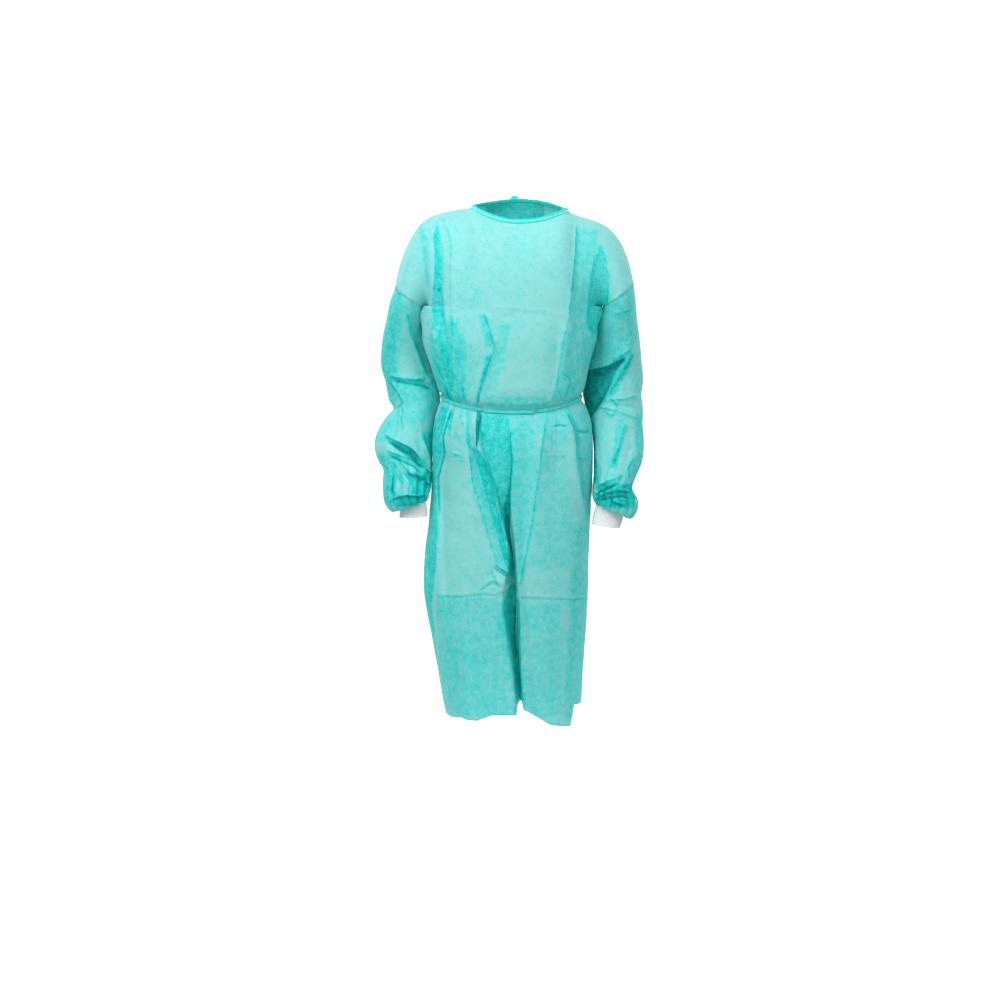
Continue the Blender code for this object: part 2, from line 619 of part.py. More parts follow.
def add_knot(name, middle, sizes, material):
    """A small flat knot, round at its edges."""
    up = np.radians(np.linspace(KNOT_ROUND, -KNOT_ROUND, KNOT_ROWS))[:, None]
    turn = np.arange(KNOT_COLUMNS) * 2 * np.pi / KNOT_COLUMNS
    ball = np.stack([np.cos(up) * np.cos(turn), np.cos(up) * np.sin(turn), np.sin(up) + 0 * turn], -1)
    rows = middle + ball * sizes
    numbers = np.arange(KNOT_ROWS * KNOT_COLUMNS).reshape(KNOT_ROWS, KNOT_COLUMNS)
    across = np.roll(numbers, -1, axis=1)
    quads = np.stack([numbers[:-1], numbers[1:], across[1:], across[:-1]], -1).reshape(-1, 4).tolist()
    caps = [numbers[0].tolist(), numbers[-1, ::-1].tolist()]
    add_object(name, rows.reshape(-1, 3), quads + caps, material)


def cloth_point(rows, row, x):
    """The point of a panel's rows at a row number, which may lie between two rows, and a distance x."""
    low = int(row)
    found = []
    for line in rows[low:low + 2]:
        order = np.argsort(line[:, 0])
        found.append([x, *(np.interp(x, line[order, 0], line[order, i]) for i in (1, 2))])
    found = np.array(found)
    return found[0] if len(found) < 2 else found[0] + (found[1] - found[0]) * (row - low)


def add_tail(name, rows, path, material):
    """One end of a tie, lying on the rows of cloth along its path."""
    grid = np.array([
        [cloth_point(rows, row, x + edge) + [0, off, up] for edge in (TAIL_WIDTH / 2, -TAIL_WIDTH / 2)]
        for row, x, off, up in path
    ])
    cells = np.ones((len(path) - 1, 1), bool)
    add_wall(name, grid + [0, TAIL_THICKNESS, 0], grid, cells, material)


for item in list(bpy.data.objects):
    bpy.data.objects.remove(item, do_unlink=True)
garment = bpy.data.collections.new("isolation_gown")
bpy.context.scene.collection.children.link(garment)
cloth = make_material("mint_nonwoven", CLOTH, 0.6)
tape = make_material("turquoise_tape", CLOTH_DENSE, 0.6)
knit = make_material("white_knit", KNIT, 0.8)

front, front_cells, front_seam = panel(FRONT_LINES, FRONT_PUSH, FRONT_HEM, -1)
back, back_cells, back_seam = panel(BACK_LINES, BACK_PUSH, BACK_HEM, 1)
under_start = line_column(BACK_LINES, "under_edge")
outer_end = line_column(BACK_LINES, "outer_edge")
at = np.arange(back.shape[1])
lift = LAP_LIFT * ease((at - under_start + LAP_EASE_COLUMNS) / LAP_EASE_COLUMNS)
lifted = back + lift[:, None] * vertex_normals(back, back_cells)

front_outer, front_inner = add_panel("front_panel", front, front_cells, front_seam, -1, cloth)
right = slice(0, outer_end + 1)
right_cells = back_cells[:, :outer_end]
right_outer, right_inner = add_panel(
    "back_panel_right", lifted[:, right], right_cells, back_seam[:, right], 1, cloth)
left = slice(under_start, None)
left_outer, left_inner = add_panel(
    "back_panel_left", back[:, left], back_cells[:, under_start:], back_seam[:, left], 1, cloth)

yoke_part = slice(0, YOKE_ROWS + 1)
left_loops = [
    armhole(f[yoke_part, 0], b[yoke_part, -1])
    for f, b in ((front_outer, left_outer), (front_inner, left_inner))
]
right_loops = [
    armhole(f[yoke_part, -1], b[yoke_part, 0])
    for f, b in ((front_outer, right_outer), (front_inner, right_inner))
]
add_sleeve("left", left_loops, SLEEVE_LEFT, CUFF_LEFT, cloth)
add_sleeve("right", right_loops, SLEEVE_RIGHT, CUFF_RIGHT, cloth)
add_cuff("left", CUFF_LEFT, knit)
add_cuff("right", CUFF_RIGHT, knit)

neck_start, neck_end = (line_column(FRONT_LINES, name) for name in NECK_FRONT_LINES)
back_start, back_end = (line_column(BACK_LINES, name) for name in NECK_BACK_LINES)
neck_loop = np.concatenate([front[0, neck_start:neck_end + 1], back[0, back_start + 1:back_end]])
binding_face = add_binding(neck_loop, tape)

over = np.where((at <= outer_end)[:, None], lifted[YOKE_ROWS:], back[YOKE_ROWS:])
body_part = slice(CAP_COLUMNS, -CAP_COLUMNS)
back_part = slice(CAP_COLUMNS + 1, -CAP_COLUMNS - 1)
belt_rows = [
    np.concatenate([front[YOKE_ROWS + i, body_part], over[i, back_part]])
    for i in np.flatnonzero(np.abs(SECTIONS[:, 0] - BELT_ROW) < BELT_HEIGHT)
]
belt_face = add_belt(*belt_rows, tape)

waist_to_hem = over[:, back_part]
shoulder_to_waist = lifted[:YOKE_ROWS + 1, CAP_COLUMNS + 1:outer_end + 1]
for name, face, knot, tails, rows in (
    ("belt_knot", belt_face, BELT_KNOT, BELT_TAILS, waist_to_hem),
    ("neck_knot", binding_face, NECK_KNOT, NECK_TAILS, shoulder_to_waist),
):
    behind = face[face[:, 1] > 0]
    behind = behind[np.argsort(behind[:, 0])]
    x, off, above, sizes = knot
    y, z = (np.interp(x, behind[:, 0], behind[:, i]) for i in (1, 2))
    add_knot(name, np.array([x, y + off + sizes[1], z + above]), sizes, tape)
    for tail, path in tails.items():
        add_tail(tail, rows, path, tape)
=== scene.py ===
"""Isolation gown in its worn, belted and hollow form: its cloth, trims and stitching.

The tables hold millimetres, as a sewing pattern does, and a drop is measured down from the middle
of the neck opening. Meshes are made in metres.
"""
import bpy
import numpy as np
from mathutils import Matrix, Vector


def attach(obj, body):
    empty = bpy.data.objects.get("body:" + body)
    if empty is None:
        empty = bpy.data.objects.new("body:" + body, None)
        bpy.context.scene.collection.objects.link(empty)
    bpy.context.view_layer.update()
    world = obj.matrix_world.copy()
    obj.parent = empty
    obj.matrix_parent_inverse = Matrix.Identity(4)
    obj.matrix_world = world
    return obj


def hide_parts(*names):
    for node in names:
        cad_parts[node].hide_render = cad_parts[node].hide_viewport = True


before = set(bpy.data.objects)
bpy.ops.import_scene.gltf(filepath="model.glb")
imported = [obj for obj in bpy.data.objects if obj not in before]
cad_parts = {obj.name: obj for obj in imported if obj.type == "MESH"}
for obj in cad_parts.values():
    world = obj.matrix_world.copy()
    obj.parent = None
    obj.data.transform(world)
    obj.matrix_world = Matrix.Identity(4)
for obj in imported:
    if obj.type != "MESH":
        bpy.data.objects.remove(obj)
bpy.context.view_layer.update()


# The camera stands level with the chest, four and a half metres in front and a little to the left,
# and looks slightly down, as for a full-length studio picture.
EYE = Vector((-0.03, -4.5, -0.15))
AIM = Vector((-0.03, -0.12, -0.586))  # on the plane of the gown's front
PICTURE_WIDTH = 2.0  # metres of that plane that the picture takes in
SENSOR = 36.0

camera_data = bpy.data.cameras.new("studio_camera")
camera_data.sensor_width = SENSOR
camera_data.lens = SENSOR * (AIM - EYE).length / PICTURE_WIDTH
camera_data.clip_end = 50
camera = bpy.data.objects.new("studio_camera", camera_data)
camera.location = EYE
camera.rotation_euler = (AIM - EYE).to_track_quat("-Z", "Y").to_euler()
bpy.context.scene.collection.objects.link(camera)
bpy.context.scene.camera = camera
bpy.context.scene.view_settings.view_transform = "Standard"


# Front panel: one piece of thin mint nonwoven from the neck edge and the shoulder seams to the hem.
# The belt gathers it, so it blouses above the waist and hangs below in a deep fold with a pleat on
# each side. Sharp lines from its packing still cross it.
MM = 0.001
CLOTH_THICKNESS = 0.5
SQUARENESS = 2.4  # 2 gives round body sections, more gives squarer ones
LEAN_POWER = 5  # a fold is pushed forward or back, and sideways only close to the sides
PIT_DROP = 200
BELT_ROW = 400
HEM_ROW = 1020
BELT_SIDE_DROP = 385
BELT_FRONT_DIP = 26
BELT_BACK_DIP = -8
HEM_EASE_FROM = 600
SECTIONS = np.array([
    # drop left right front back
    (200, 175, 166, 128, 116),
    (235, 185, 166, 131, 118),
    (270, 187, 166, 132, 119),
    (305, 180, 158, 130, 119),
    (340, 170, 150, 129, 118),
    (368, 162, 146, 127, 116),
    (386, 156, 141, 120, 110),
    (395, 150, 136, 109, 101),
    (405, 150, 136, 109, 101),
    (416, 155, 144, 116, 107),
    (440, 163, 155, 125, 117),
    (480, 168, 160, 131, 128),
    (530, 166, 160, 134, 137),
    (590, 168, 158, 137, 142),
    (650, 177, 155, 140, 145),
    (710, 185, 153, 143, 147),
    (780, 186, 151, 147, 149),
    (850, 174, 148, 151, 151),
    (930, 160, 143, 155, 153),
    (1020, 143, 138, 160, 156),
], float)
ROW_STEP = 4.4
# Between the first two and the last two of these drops the rows lie closer
CRISP_DROPS = (434, 516, 700, 800)
FINE_COLUMNS = 10  # columns of the shell from one fold line to the next
YOKE_ROWS = 32
SOFTENING = 0.5
SOFTENING_PASSES = 36
SOFTENING_EDGE = 5  # rows over which the softening sets in
CAP_COLUMNS = 16
CRISPNESS = 0.6  # 0 gives rolling folds, 1 gives folds with sharp edges

# How far to the right each fold line runs at these drops
LINE_DROPS = (200, 400, 490, 590, 700, 800, 900, 1020)
FRONT_LINES = {
    "side_band": (-160, -141, -160, -168, -172, -166, -152, -132),
    "side_pleat": (-150, -129, -147, -157, -154, -148, -138, -121),
    "side_pleat_foot": (-142, -122, -139, -148, -144, -137, -127, -111),
    "tuck": (-116, -103, -94, -102, -104, -104, -102, -95),
    "tuck_foot": (-104, -94, -84, -88, -78, -84, -84, -76),
    "bright_band": (-90, -86, -78, -64, -40, -56, -54, -46),
    "left_lip": (-72, -75, -69, -36, -14, -28, -10, 3),
    "left_wall": (-58, -66, -58, -28, -9, -14, -4, 6),
    "valley": (-34, -40, -34, -19, -5, -3, 1, 10),
    "right_wall": (-18, -22, -12, -13, -1, 4, 6, 14),
    "right_lip": (-4, -10, -4, -7, 3, 10, 12, 18),
    "right_flat": (24, 24, 22, 16, 17, 26, 34, 46),
    "shallow_ridge": (54, 62, 52, 42, 36, 44, 56, 68),
    "right_dip": (84, 82, 84, 82, 78, 78, 82, 88),
    "right_pleat": (110, 98, 119, 132, 128, 120, 114, 111),
    "right_pleat_foot": (130, 114, 134, 144, 141, 136, 128, 120),
}
# How far each fold line is pushed out of the plain section at these drops, and the drop of its hem
PUSH_DROPS = (0, 100, 200, 300, 400, 440, 490, 590, 700, 800, 900, 1020)
FRONT_PUSH = {
    "side_band": (0, 3, 5, 3, 0, 3, 4, 4, 3, 2, 0, 0),
    "side_pleat": (0, -3, -5, -2, 0, 5, 9, 9, 6, 4, 2, 2),
    "side_pleat_foot": (0, 2, 2, 0, 0, -3, -6, -6, -4, -2, -1, -2),
    "tuck": (0, 1, 1, 2, 0, 5, 5, 1, 0, 2, 4, 8),
    "tuck_foot": (0, 0, 0, 0, 0, -3, -4, -2, 0, 0, 0, 3),
    "bright_band": (0, 0, 0, 0, 0, 4, 7, 6, 6, 5, 3, 2),
    "left_lip": (0, 0, 1, 3, 0, 6, 10, 11, 10, 10, 11, 13),
    "left_wall": (0, 0, 0, 1, 0, -3, -7, -14, -22, -32, -48, -66),
    "valley": (0, 0, 0, -2, 0, -2, -6, -16, -28, -42, -60, -82),
    "right_wall": (0, 0, 0, -1, 0, -2, -6, -14, -22, -32, -48, -66),
    "right_lip": (0, 0, 0, 0, 0, 3, 6, 8, 9, 10, 11, 13),
    "right_flat": (0, 0, 0, 1, 0, -1, 0, 2, 3, 4, 5, 6),
    "shallow_ridge": (0, 0, 0, 2, 0, 4, 5, 4, 3, 3, 4, 8),
    "right_dip": (0, 0, 0, -1, 0, -2, -3, -2, -1, 0, 2, 7),
    "right_pleat": (0, 2, 3, 3, 0, 5, 8, 7, 4, 3, 4, 6),
    "right_pleat_foot": (0, -3, -5, -3, 0, -3, -4, -2, 0, 0, 0, 1),
}
HEM_SIDES = (1034, 1014)
FRONT_HEM = {
    "side_band": 1034, "side_pleat": 1031, "side_pleat_foot": 1029, "tuck": 1029, "tuck_foot": 1029,
    "bright_band": 1016, "left_lip": 1013, "left_wall": 1004, "valley": 1000, "right_wall": 998,
    "right_lip": 1002, "right_flat": 1020, "shallow_ridge": 1035, "right_dip": 1041,
    "right_pleat": 1046, "right_pleat_foot": 1006,
}
NECK_FRONT_LINES = ("bright_band", "right_pleat")

# Neck opening: an ellipse seen from above, that dips in front and rises behind
NECK_MIDDLE = 10
NECK_HALF_WIDTH = 100
NECK_FRONT_DEPTH = 76
NECK_BACK_DEPTH = 70
NECK_FRONT_DROP = 35
NECK_BACK_RISE = 11
NECK_SIDE_DROPS = (3, 11)
# Shoulder seams from the neck's corner to the armhole: outward distance and drop
SHOULDER_LEFT = np.array([
    (90, 3), (125, 8), (156, 15), (180, 26), (198, 43), (213, 67), (232, 112), (245, 166),
], float)
SHOULDER_RIGHT = np.array([
    (110, 11), (140, 22), (164, 29), (192, 44), (215, 72), (233, 115), (243, 158),
], float)
UNDERARM = {"left": (188, 202), "right": (181, 202)}
UNDERARM_FILL = 14  # the cloth below the armhole stands out by this much
UNDERARM_FILL_DROP = 212
UNDERARM_FILL_REACH = 22
UNDERARM_POWER = 14
SIDE_BULGE = 65
PULL_PER_BULGE = 4  # a cubic curve between two opposite pulls stands out by a quarter of them
SEAM_FALL = 30
NECK_FALL = 100
NECK_FLATTER = 150
CHEST_FALL = 180
SIDE_POWER = 8

# Creases of the front. Each row: depth (a ridge above 0, a trough below), width, how much denser the
# cloth looks on it, and its route as (distance to the right, drop) points. The density is the double
# cloth of a fold's edge, with painted shade along troughs and under folds; below 0 it is a painted
# highlight on a ridge.
FRONT_CREASES = (
    (1.8, 4, 0.5, ((-146, 20), (-134, 55), (-127, 76), (-129, 150), (-127, 208), (-124, 262))),
    (-2.4, 9, 0.0, ((-152, 60), (-154, 110), (-155, 170), (-152, 230), (-154, 300), (-138, 360))),
    (1.6, 2.6, 1.3, ((123, 34), (121, 79), (114, 154), (106, 224))),
    (-1.6, 7, 0.0, ((131, 40), (129, 100), (122, 165), (114, 222))),
    (2.2, 3, 1.2, ((104, 222), (107, 227), (104, 230))),
    (1.2, 3, 0.4, ((104, 230), (91, 283), (82, 351), (70, 394))),
    (2.0, 4, 0.6, ((166, 84), (151, 143), (147, 196), (146, 238), (161, 263))),
    (1.6, 4, 0.5, ((189, 150), (187, 196), (175, 225), (162, 262))),
    (1.1, 3, 0.7, ((-168, 166), (-142, 168))),
    (1.1, 3, 0.7, ((-167, 210), (-142, 211))),
    (0.9, 3, 0.5, ((-134, 211), (-103, 205), (-96, 203))),
    (1.1, 3, 0.4, ((-53, 202), (-10, 205), (57, 210), (105, 223))),
    (-0.9, 3, 0.0, ((-50, 207), (-10, 210), (57, 215))),
    (0.8, 3, 0.3, ((-128, 166), (-106, 163))),
    (2.2, 5, 0.7, ((-62, 212), (-50, 247), (-40, 280), (-52, 312), (-69, 368), (-74, 396))),
    (-1.6, 10, 0.0, ((-34, 262), (-28, 290), (-42, 325), (-60, 380))),
    (-1.0, 8, 0.0, ((-48, 218), (-18, 222), (20, 216), (70, 224))),
    (1.5, 4, 0.6, ((88, 331), (107, 340), (110, 354), (103, 373), (98, 392))),
    (-1.2, 5, 0.3, ((118, 322), (124, 350), (112, 390))),
    (1.6, 4, 0.6, ((-132, 390), (-143, 350), (-161, 308), (-160, 256))),
    (1.4, 4, -0.8, ((-159, 303), (-162, 253), (-148, 234))),
    (1.4, 4, 0.4, ((-106, 351), (-102, 374), (-100, 392))),
    (-1.6, 6, 0.1, ((-116, 388), (-118, 340), (-110, 300))),
    (0.9, 6, 0.0, ((-20, 362), (32, 360), (80, 366))),
    (-1.3, 5, 0.0, ((-44, 384), (10, 388), (62, 384))),
    (2.0, 3.5, 0.4, ((-130, 404), (-139, 430), (-148, 462), (-145, 498), (-159, 547), (-155, 638),
                     (-157, 700))),
    (-2.0, 3.5, 1.6, ((-126, 404), (-135, 430), (-144, 462), (-141, 498), (-155, 547), (-152, 620))),
    (1.4, 3, 0.5, ((-120, 408), (-126, 425), (-130, 448), (-132, 474))),
    (1.6, 3, 0.8, ((-106, 406), (-109, 422), (-100, 442), (-92, 484), (-86, 493))),
    (1.0, 2.5, 0.6, ((-101, 408), (-105, 418), (-112, 424))),
    (-1.2, 5, 0.2, ((-112, 428), (-118, 450), (-118, 480))),
    (1.4, 3, 0.7, ((-93, 492), (-86, 543), (-69, 605), (-50, 667), (-36, 714), (-8, 734))),
    (2.0, 3, 0.3, ((-78, 412), (-76, 442), (-75, 479), (-52, 518), (-37, 582), (-22, 650), (-5, 717),
                   (4, 748))),
    (-1.6, 3, 1.5, ((-66, 410), (-72, 440), (-72, 476))),
    (1.2, 3, 0.6, ((-66, 414), (-70, 444), (-62, 462), (-52, 474))),
    (-0.9, 4, 0.2, ((-72, 560), (-52, 610), (-38, 660))),
    (1.5, 3, 0.7, ((-10, 440), (-5, 498), (-8, 568), (-9, 661), (1, 720), (5, 787))),
    (1.4, 3, 0.8, ((64, 411), (58, 450), (51, 498), (35, 625), (20, 700), (7, 762))),
    (1.9, 3.5, 0.8, ((99, 406), (119, 451), (122, 504), (129, 548), (136, 580), (138, 604))),
    (-1.4, 5, 0.1, ((108, 410), (128, 452), (134, 520), (144, 590))),
    (1.1, 2.6, 0.8, ((-142, 496), (-124, 493), (-112, 496), (-96, 491))),
    (1.0, 2.6, 0.8, ((-140, 504), (-118, 497), (-96, 501))),
    (0.9, 2.6, 0.7, ((-130, 509), (-110, 507), (-95, 507))),
    (0.7, 2.6, 0.5, ((-139, 456), (-120, 460), (-104, 459))),
    (-0.9, 2.6, 1.2, ((67, 440), (88, 438), (110, 439))),
    (0.9, 3, 0.2, ((67, 436), (88, 434), (110, 435))),
    (-1.2, 2.6, 1.2, ((121, 446), (136, 454), (156, 454))),
    (1.1, 3, 0.3, ((121, 442), (136, 450), (156, 450))),
    (0.6, 3, 0.4, ((54, 498), (104, 499))),
    (1.1, 3, 0.5, ((104, 500), (154, 509))),
    (0.8, 4, 0.3, ((100, 602), (152, 601))),
    (0.7, 3, 0.5, ((92, 634), (150, 635))),
    (0.8, 4, 0.3, ((-104, 606), (-90, 616), (-76, 612))),
    (1.4, 3.6, -0.3, ((-160, 780), (-117, 777), (-66, 769), (-41, 770), (-8, 755))),
    (-1.2, 3.4, 0.4, ((-158, 784), (-117, 781), (-66, 773), (-41, 774), (-12, 762))),
    (1.4, 3.6, -0.3, ((4, 774), (34, 776), (91, 782), (119, 786), (148, 788))),
    (-1.2, 3.4, 0.4, ((6, 778), (34, 780), (91, 786), (119, 790), (146, 792))),
    (2.8, 3.4, 0.5, ((-44, 704), (-33, 718), (-20, 727), (-6, 734))),
    (-2.0, 3.0, 1.1, ((-46, 712), (-35, 725), (-20, 734), (-8, 740))),
    (2.4, 3.4, -0.3, ((-74, 766), (-58, 752), (-44, 742), (-30, 748), (-18, 755))),
    (-1.8, 3.0, 1.0, ((-76, 772), (-60, 758), (-45, 749), (-32, 755))),
    (2.6, 3.4, -0.3, ((-44, 724), (-34, 742), (-22, 762))),
    (-2.0, 3.0, 1.0, ((-50, 728), (-40, 744), (-28, 764))),
    (2.2, 3.2, -0.2, ((-26, 770), (-16, 760), (-4, 753))),
    (-1.8, 3.0, 0.8, ((-60, 736), (-48, 730), (-40, 720))),
    (-1.0, 5, 0.2, ((-40, 780), (-24, 770))),
    (2.2, 3, 0.5, ((-4, 754), (-16, 771), (-25, 788), (-25, 803), (-15, 861), (1, 914), (5, 948),
                   (11, 1008))),
    (1.2, 3.5, 0.5, ((1, 790), (1, 850), (4, 944), (12, 1000))),
    (-1.0, 9, 0.0, ((-150, 640), (-110, 660), (-84, 668))),
    (0.8, 9, 0.0, ((-146, 556), (-120, 566), (-100, 560))),
    (-0.9, 10, 0.0, ((-98, 900), (-60, 912), (-30, 902))),
    (0.8, 7, 0.2, ((-96, 956), (-60, 962), (-46, 950))),
    (0.7, 5, 0.3, ((-84, 910), (-60, 906), (-50, 896))),
    (-0.8, 8, 0.0, ((40, 900), (70, 930), (90, 980))),
    (1.0, 6, 0.2, ((96, 890), (104, 940), (100, 1010))),
    (1.0, 3, 0.5, ((98, 968), (110, 958))),
    (-1.2, 8, 0.0, ((-104, 820), (-112, 900), (-108, 990))),
    (1.1, 6, 0.2, ((-140, 800), (-134, 880), (-124, 960))),
)
# Faces of folds, which lie double or turn from the light. Each row: how dense, the softness of the
# left and the right edge, and for each drop where the two edges are. Where a face lies double, its
# density is the cloth's own; where it turns from the light or lies under a fold, it is painted shade,
# and above 1 it reaches the painted shade colour.
FRONT_FACES = (
    (0.85, 4, 9, ((36, -158, -154), (60, -164, -150), (112, -161, -145), (210, -167, -143),
                  (250, -160, -141), (300, -150, -130), (345, -140, -120), (392, -136, -126))),
    (0.50, 3, 8, ((24, -204, -188), (70, -188, -178), (160, -178, -170))),
    (0.60, 16, 34, ((226, -172, -112), (283, -172, -92), (337, -165, -90), (392, -150, -92))),
    (0.42, 2, 4, ((45, 123, 170), (112, 119, 158), (150, 115, 151), (196, 110, 147), (224, 106, 146))),
    (0.75, 3, 6, ((76, 170, 172), (94, 164, 180), (116, 157, 186), (143, 151, 189), (196, 147, 188),
                  (225, 146, 176),
                  (241, 146, 168), (262, 160, 162))),
    (0.45, 2, 30, ((226, 104, 170), (283, 92, 168), (337, 85, 165), (392, 72, 150))),
    (0.50, 12, 3, ((216, -74, -59), (247, -66, -50), (281, -58, -40))),
    (0.85, 5, 3, ((296, -58, -45), (330, -66, -57), (368, -76, -68), (400, -80, -73))),
    (0.35, 14, 14, ((235, -30, -8), (323, -52, -25), (400, -70, -45))),
    # painted shade under the cloth that blouses over the belt
    (0.45, 16, 16, ((380, -50, 60), (400, -60, 70))),
    (0.85, 3, 2, ((400, -150, -131), (420, -155, -137), (462, -182, -148), (498, -190, -147),
                  (546, -200, -160), (639, -205, -156), (737, -210, -160), (800, -210, -168),
                  (900, -200, -160), (1015, -190, -150))),
    (0.70, 2, 3, ((404, -126, -120), (422, -132, -125), (452, -137, -130))),
    (1.60, 2, 2, ((408, -76, -67), (442, -79, -72), (480, -78, -74))),
    (0.60, 3, 3, ((406, -101, -92), (442, -97, -90), (484, -92, -86))),
    (1.05, 6, 1.5, ((480, -90, -74), (498, -80, -66), (518, -76, -53), (543, -68, -47), (582, -58, -38),
                    (625, -45, -28), (667, -33, -18), (709, -21, -8), (746, -6, 2))),
    (0.50, 1.5, 6, ((494, -93, -80), (543, -86, -67), (605, -69, -52), (667, -50, -33), (714, -36, -20),
                    (742, -12, -4))),
    # the valley in the shade of the bright band, painted deeper; its floor, next, in deep painted shade
    (0.80, 3, 1.5, ((416, -70, -14), (450, -72, -9), (498, -62, -5), (568, -40, -8), (625, -27, -9),
                    (667, -17, -9), (702, -9, -3))),
    (1.75, 9, 1.5, ((500, -6, -5), (560, -14, -8), (600, -24, -9), (650, -20, -9), (700, -9, -3),
                    (726, -4, 1))),
    (0.55, 1.5, 9, ((404, 97, 112), (450, 119, 130), (504, 122, 134), (580, 136, 144), (612, 142, 144))),
    (0.35, 6, 4, ((410, 120, 150), (600, 142, 170), (800, 134, 170), (1010, 116, 160))),
    (0.45, 20, 6, ((640, 118, 170), (800, 112, 170), (1030, 100, 160))),
    # the lower skirt, painted a little darker
    (0.35, 8, 12, ((778, -160, -20), (1020, -150, -10))),
    (0.30, 8, 12, ((790, 10, 90), (1020, 20, 100))),
    (0.75, 1.5, 2, ((756, -10, 4), (788, -25, 4), (803, -25, 3), (861, -15, 2), (912, 1, 5))),
    (1.20, 4, 1, ((800, -4, 3), (861, -4, 2), (912, 3, 5))),
    (0.55, 14, 1.5, ((796, -26, -24), (826, -42, -20), (860, -38, -15), (900, -24, -2), (948, -8, 4),
                     (1006, -6, 12))),
    (1.10, 1.5, 28, ((784, 4, 10), (900, 5, 14), (1000, 12, 20))),
    (0.30, 12, 14, ((404, -20, 100), (560, 6, 110), (720, 20, 120))),
    (0.50, 3, 22, ((440, -8, 40), (560, -8, 36), (660, -4, 26), (740, 4, 18))),
)
CREASE_FADE = 16  # a crease fades out over this much of its ends, or over a third of itself
CREASE_POWER = 1.6
CREASE_TINT_SHARE = 0.55  # how wide the denser line on a crease is, beside the crease: double cloth and painted shade
FACE_FADE = 12
RIPPLE = 0.5  # height of the cloth's own slight unevenness
RIPPLE_WAVES = 26
RIPPLE_LENGTHS = (34, 190)
RIPPLE_UPRIGHT = 0.6  # waves run less often up and down than across
RIPPLE_POWER = 0.6  # how much lower a short wave is than a long one
BELT_FLAT = 6  # this near the belt the cloth lies flat
BELT_CALM = 16
NECK_CALM = 30
PLAIN_DENSITY = 0.12


def smooth(at, knots, values):
    """A curve through the values: a cubic between two knots, with each knot's slope from its neighbours."""
    knots = np.asarray(knots, float)
    values = np.asarray(values, float)
    slopes = np.gradient(values, knots, axis=0)
    at = np.clip(np.asarray(at, float), knots[0], knots[-1])
    i = np.clip(np.searchsorted(knots, at) - 1, 0, len(knots) - 2)
    span = knots[i + 1] - knots[i]
    t = (at - knots[i]) / span
    if values.ndim > 1:
        span = span[..., None]
        t = t[..., None]
    low = (2 * t**3 - 3 * t**2 + 1) * values[i] + (t**3 - 2 * t**2 + t) * span * slopes[i]
    return low + (3 * t**2 - 2 * t**3) * values[i + 1] + (t**3 - t**2) * span * slopes[i + 1]


def ease(t):
    """From 0 to 1 with level ends: three times the square less twice the cube."""
    t = np.clip(t, 0, 1)
    return t * t * (3 - 2 * t)


def half_width(drop, x):
    """Reach of the body section on x's side, on the curve through the sections' widths."""
    left = smooth(drop, SECTIONS[:, 0], SECTIONS[:, 1])
    right = smooth(drop, SECTIONS[:, 0], SECTIONS[:, 2])
    return np.where(x < 0, left, right)


def fine_rows():
    """Drops of the shell's rows: even steps, closer where creases cross, with every section's own drop."""
    ends = np.unique(np.concatenate([SECTIONS[:, 0], CRISP_DROPS, [PIT_DROP + 1]]))
    steps = []
    for a, b in zip(ends[:-1], ends[1:]):
        crisp = np.searchsorted(CRISP_DROPS, (a + b) / 2) % 2
        steps.append(np.linspace(a, b, int(np.ceil((b - a) / ROW_STEP * (1 + crisp))) + 1)[:-1])
    return np.concatenate(steps + [ends[-1:]])


ROWS = fine_rows()


def columns(lines, push, hem, first_angle):
    """Each column of cloth: its angle round the section, its push and its hem drop.

    Angles go evenly from line to line. A push goes there partly evenly and partly with level ends, in the
    shares that crispness gives.
    """
    angle = [np.full(len(ROWS), first_angle)]
    out = [np.zeros(len(PUSH_DROPS))]
    ends = [HEM_SIDES[0 if first_angle < 0 else 1]]
    for name, xs in lines.items():
        x = smooth(SECTIONS[:, 0], LINE_DROPS, xs)
        share = np.clip(np.abs(x) / half_width(SECTIONS[:, 0], x), 0, 1)
        turned = np.sign(x) * np.arcsin(share ** (SQUARENESS / 2))
        angle.append(smooth(ROWS, SECTIONS[:, 0], turned))
        out.append(np.array(push[name], float))
        ends.append(hem[name])
    angle.append(np.full(len(ROWS), -first_angle))
    out.append(np.zeros(len(PUSH_DROPS)))
    ends.append(HEM_SIDES[1 if first_angle < 0 else 0])
    at = np.arange((len(angle) - 1) * FINE_COLUMNS + 1) / FINE_COLUMNS
    i = np.minimum(at.astype(int), len(angle) - 2)
    f = at - i
    angle, out, ends = np.array(angle), np.array(out), np.array(ends, float)
    mixed = (CRISPNESS * f + (1 - CRISPNESS) * ease(f))[:, None]
    return (
        angle[i] * (1 - f[:, None]) + angle[i + 1] * f[:, None],
        out[i] * (1 - mixed) + out[i + 1] * mixed,
        ends[i] * (1 - f) + ends[i + 1] * f,
    )


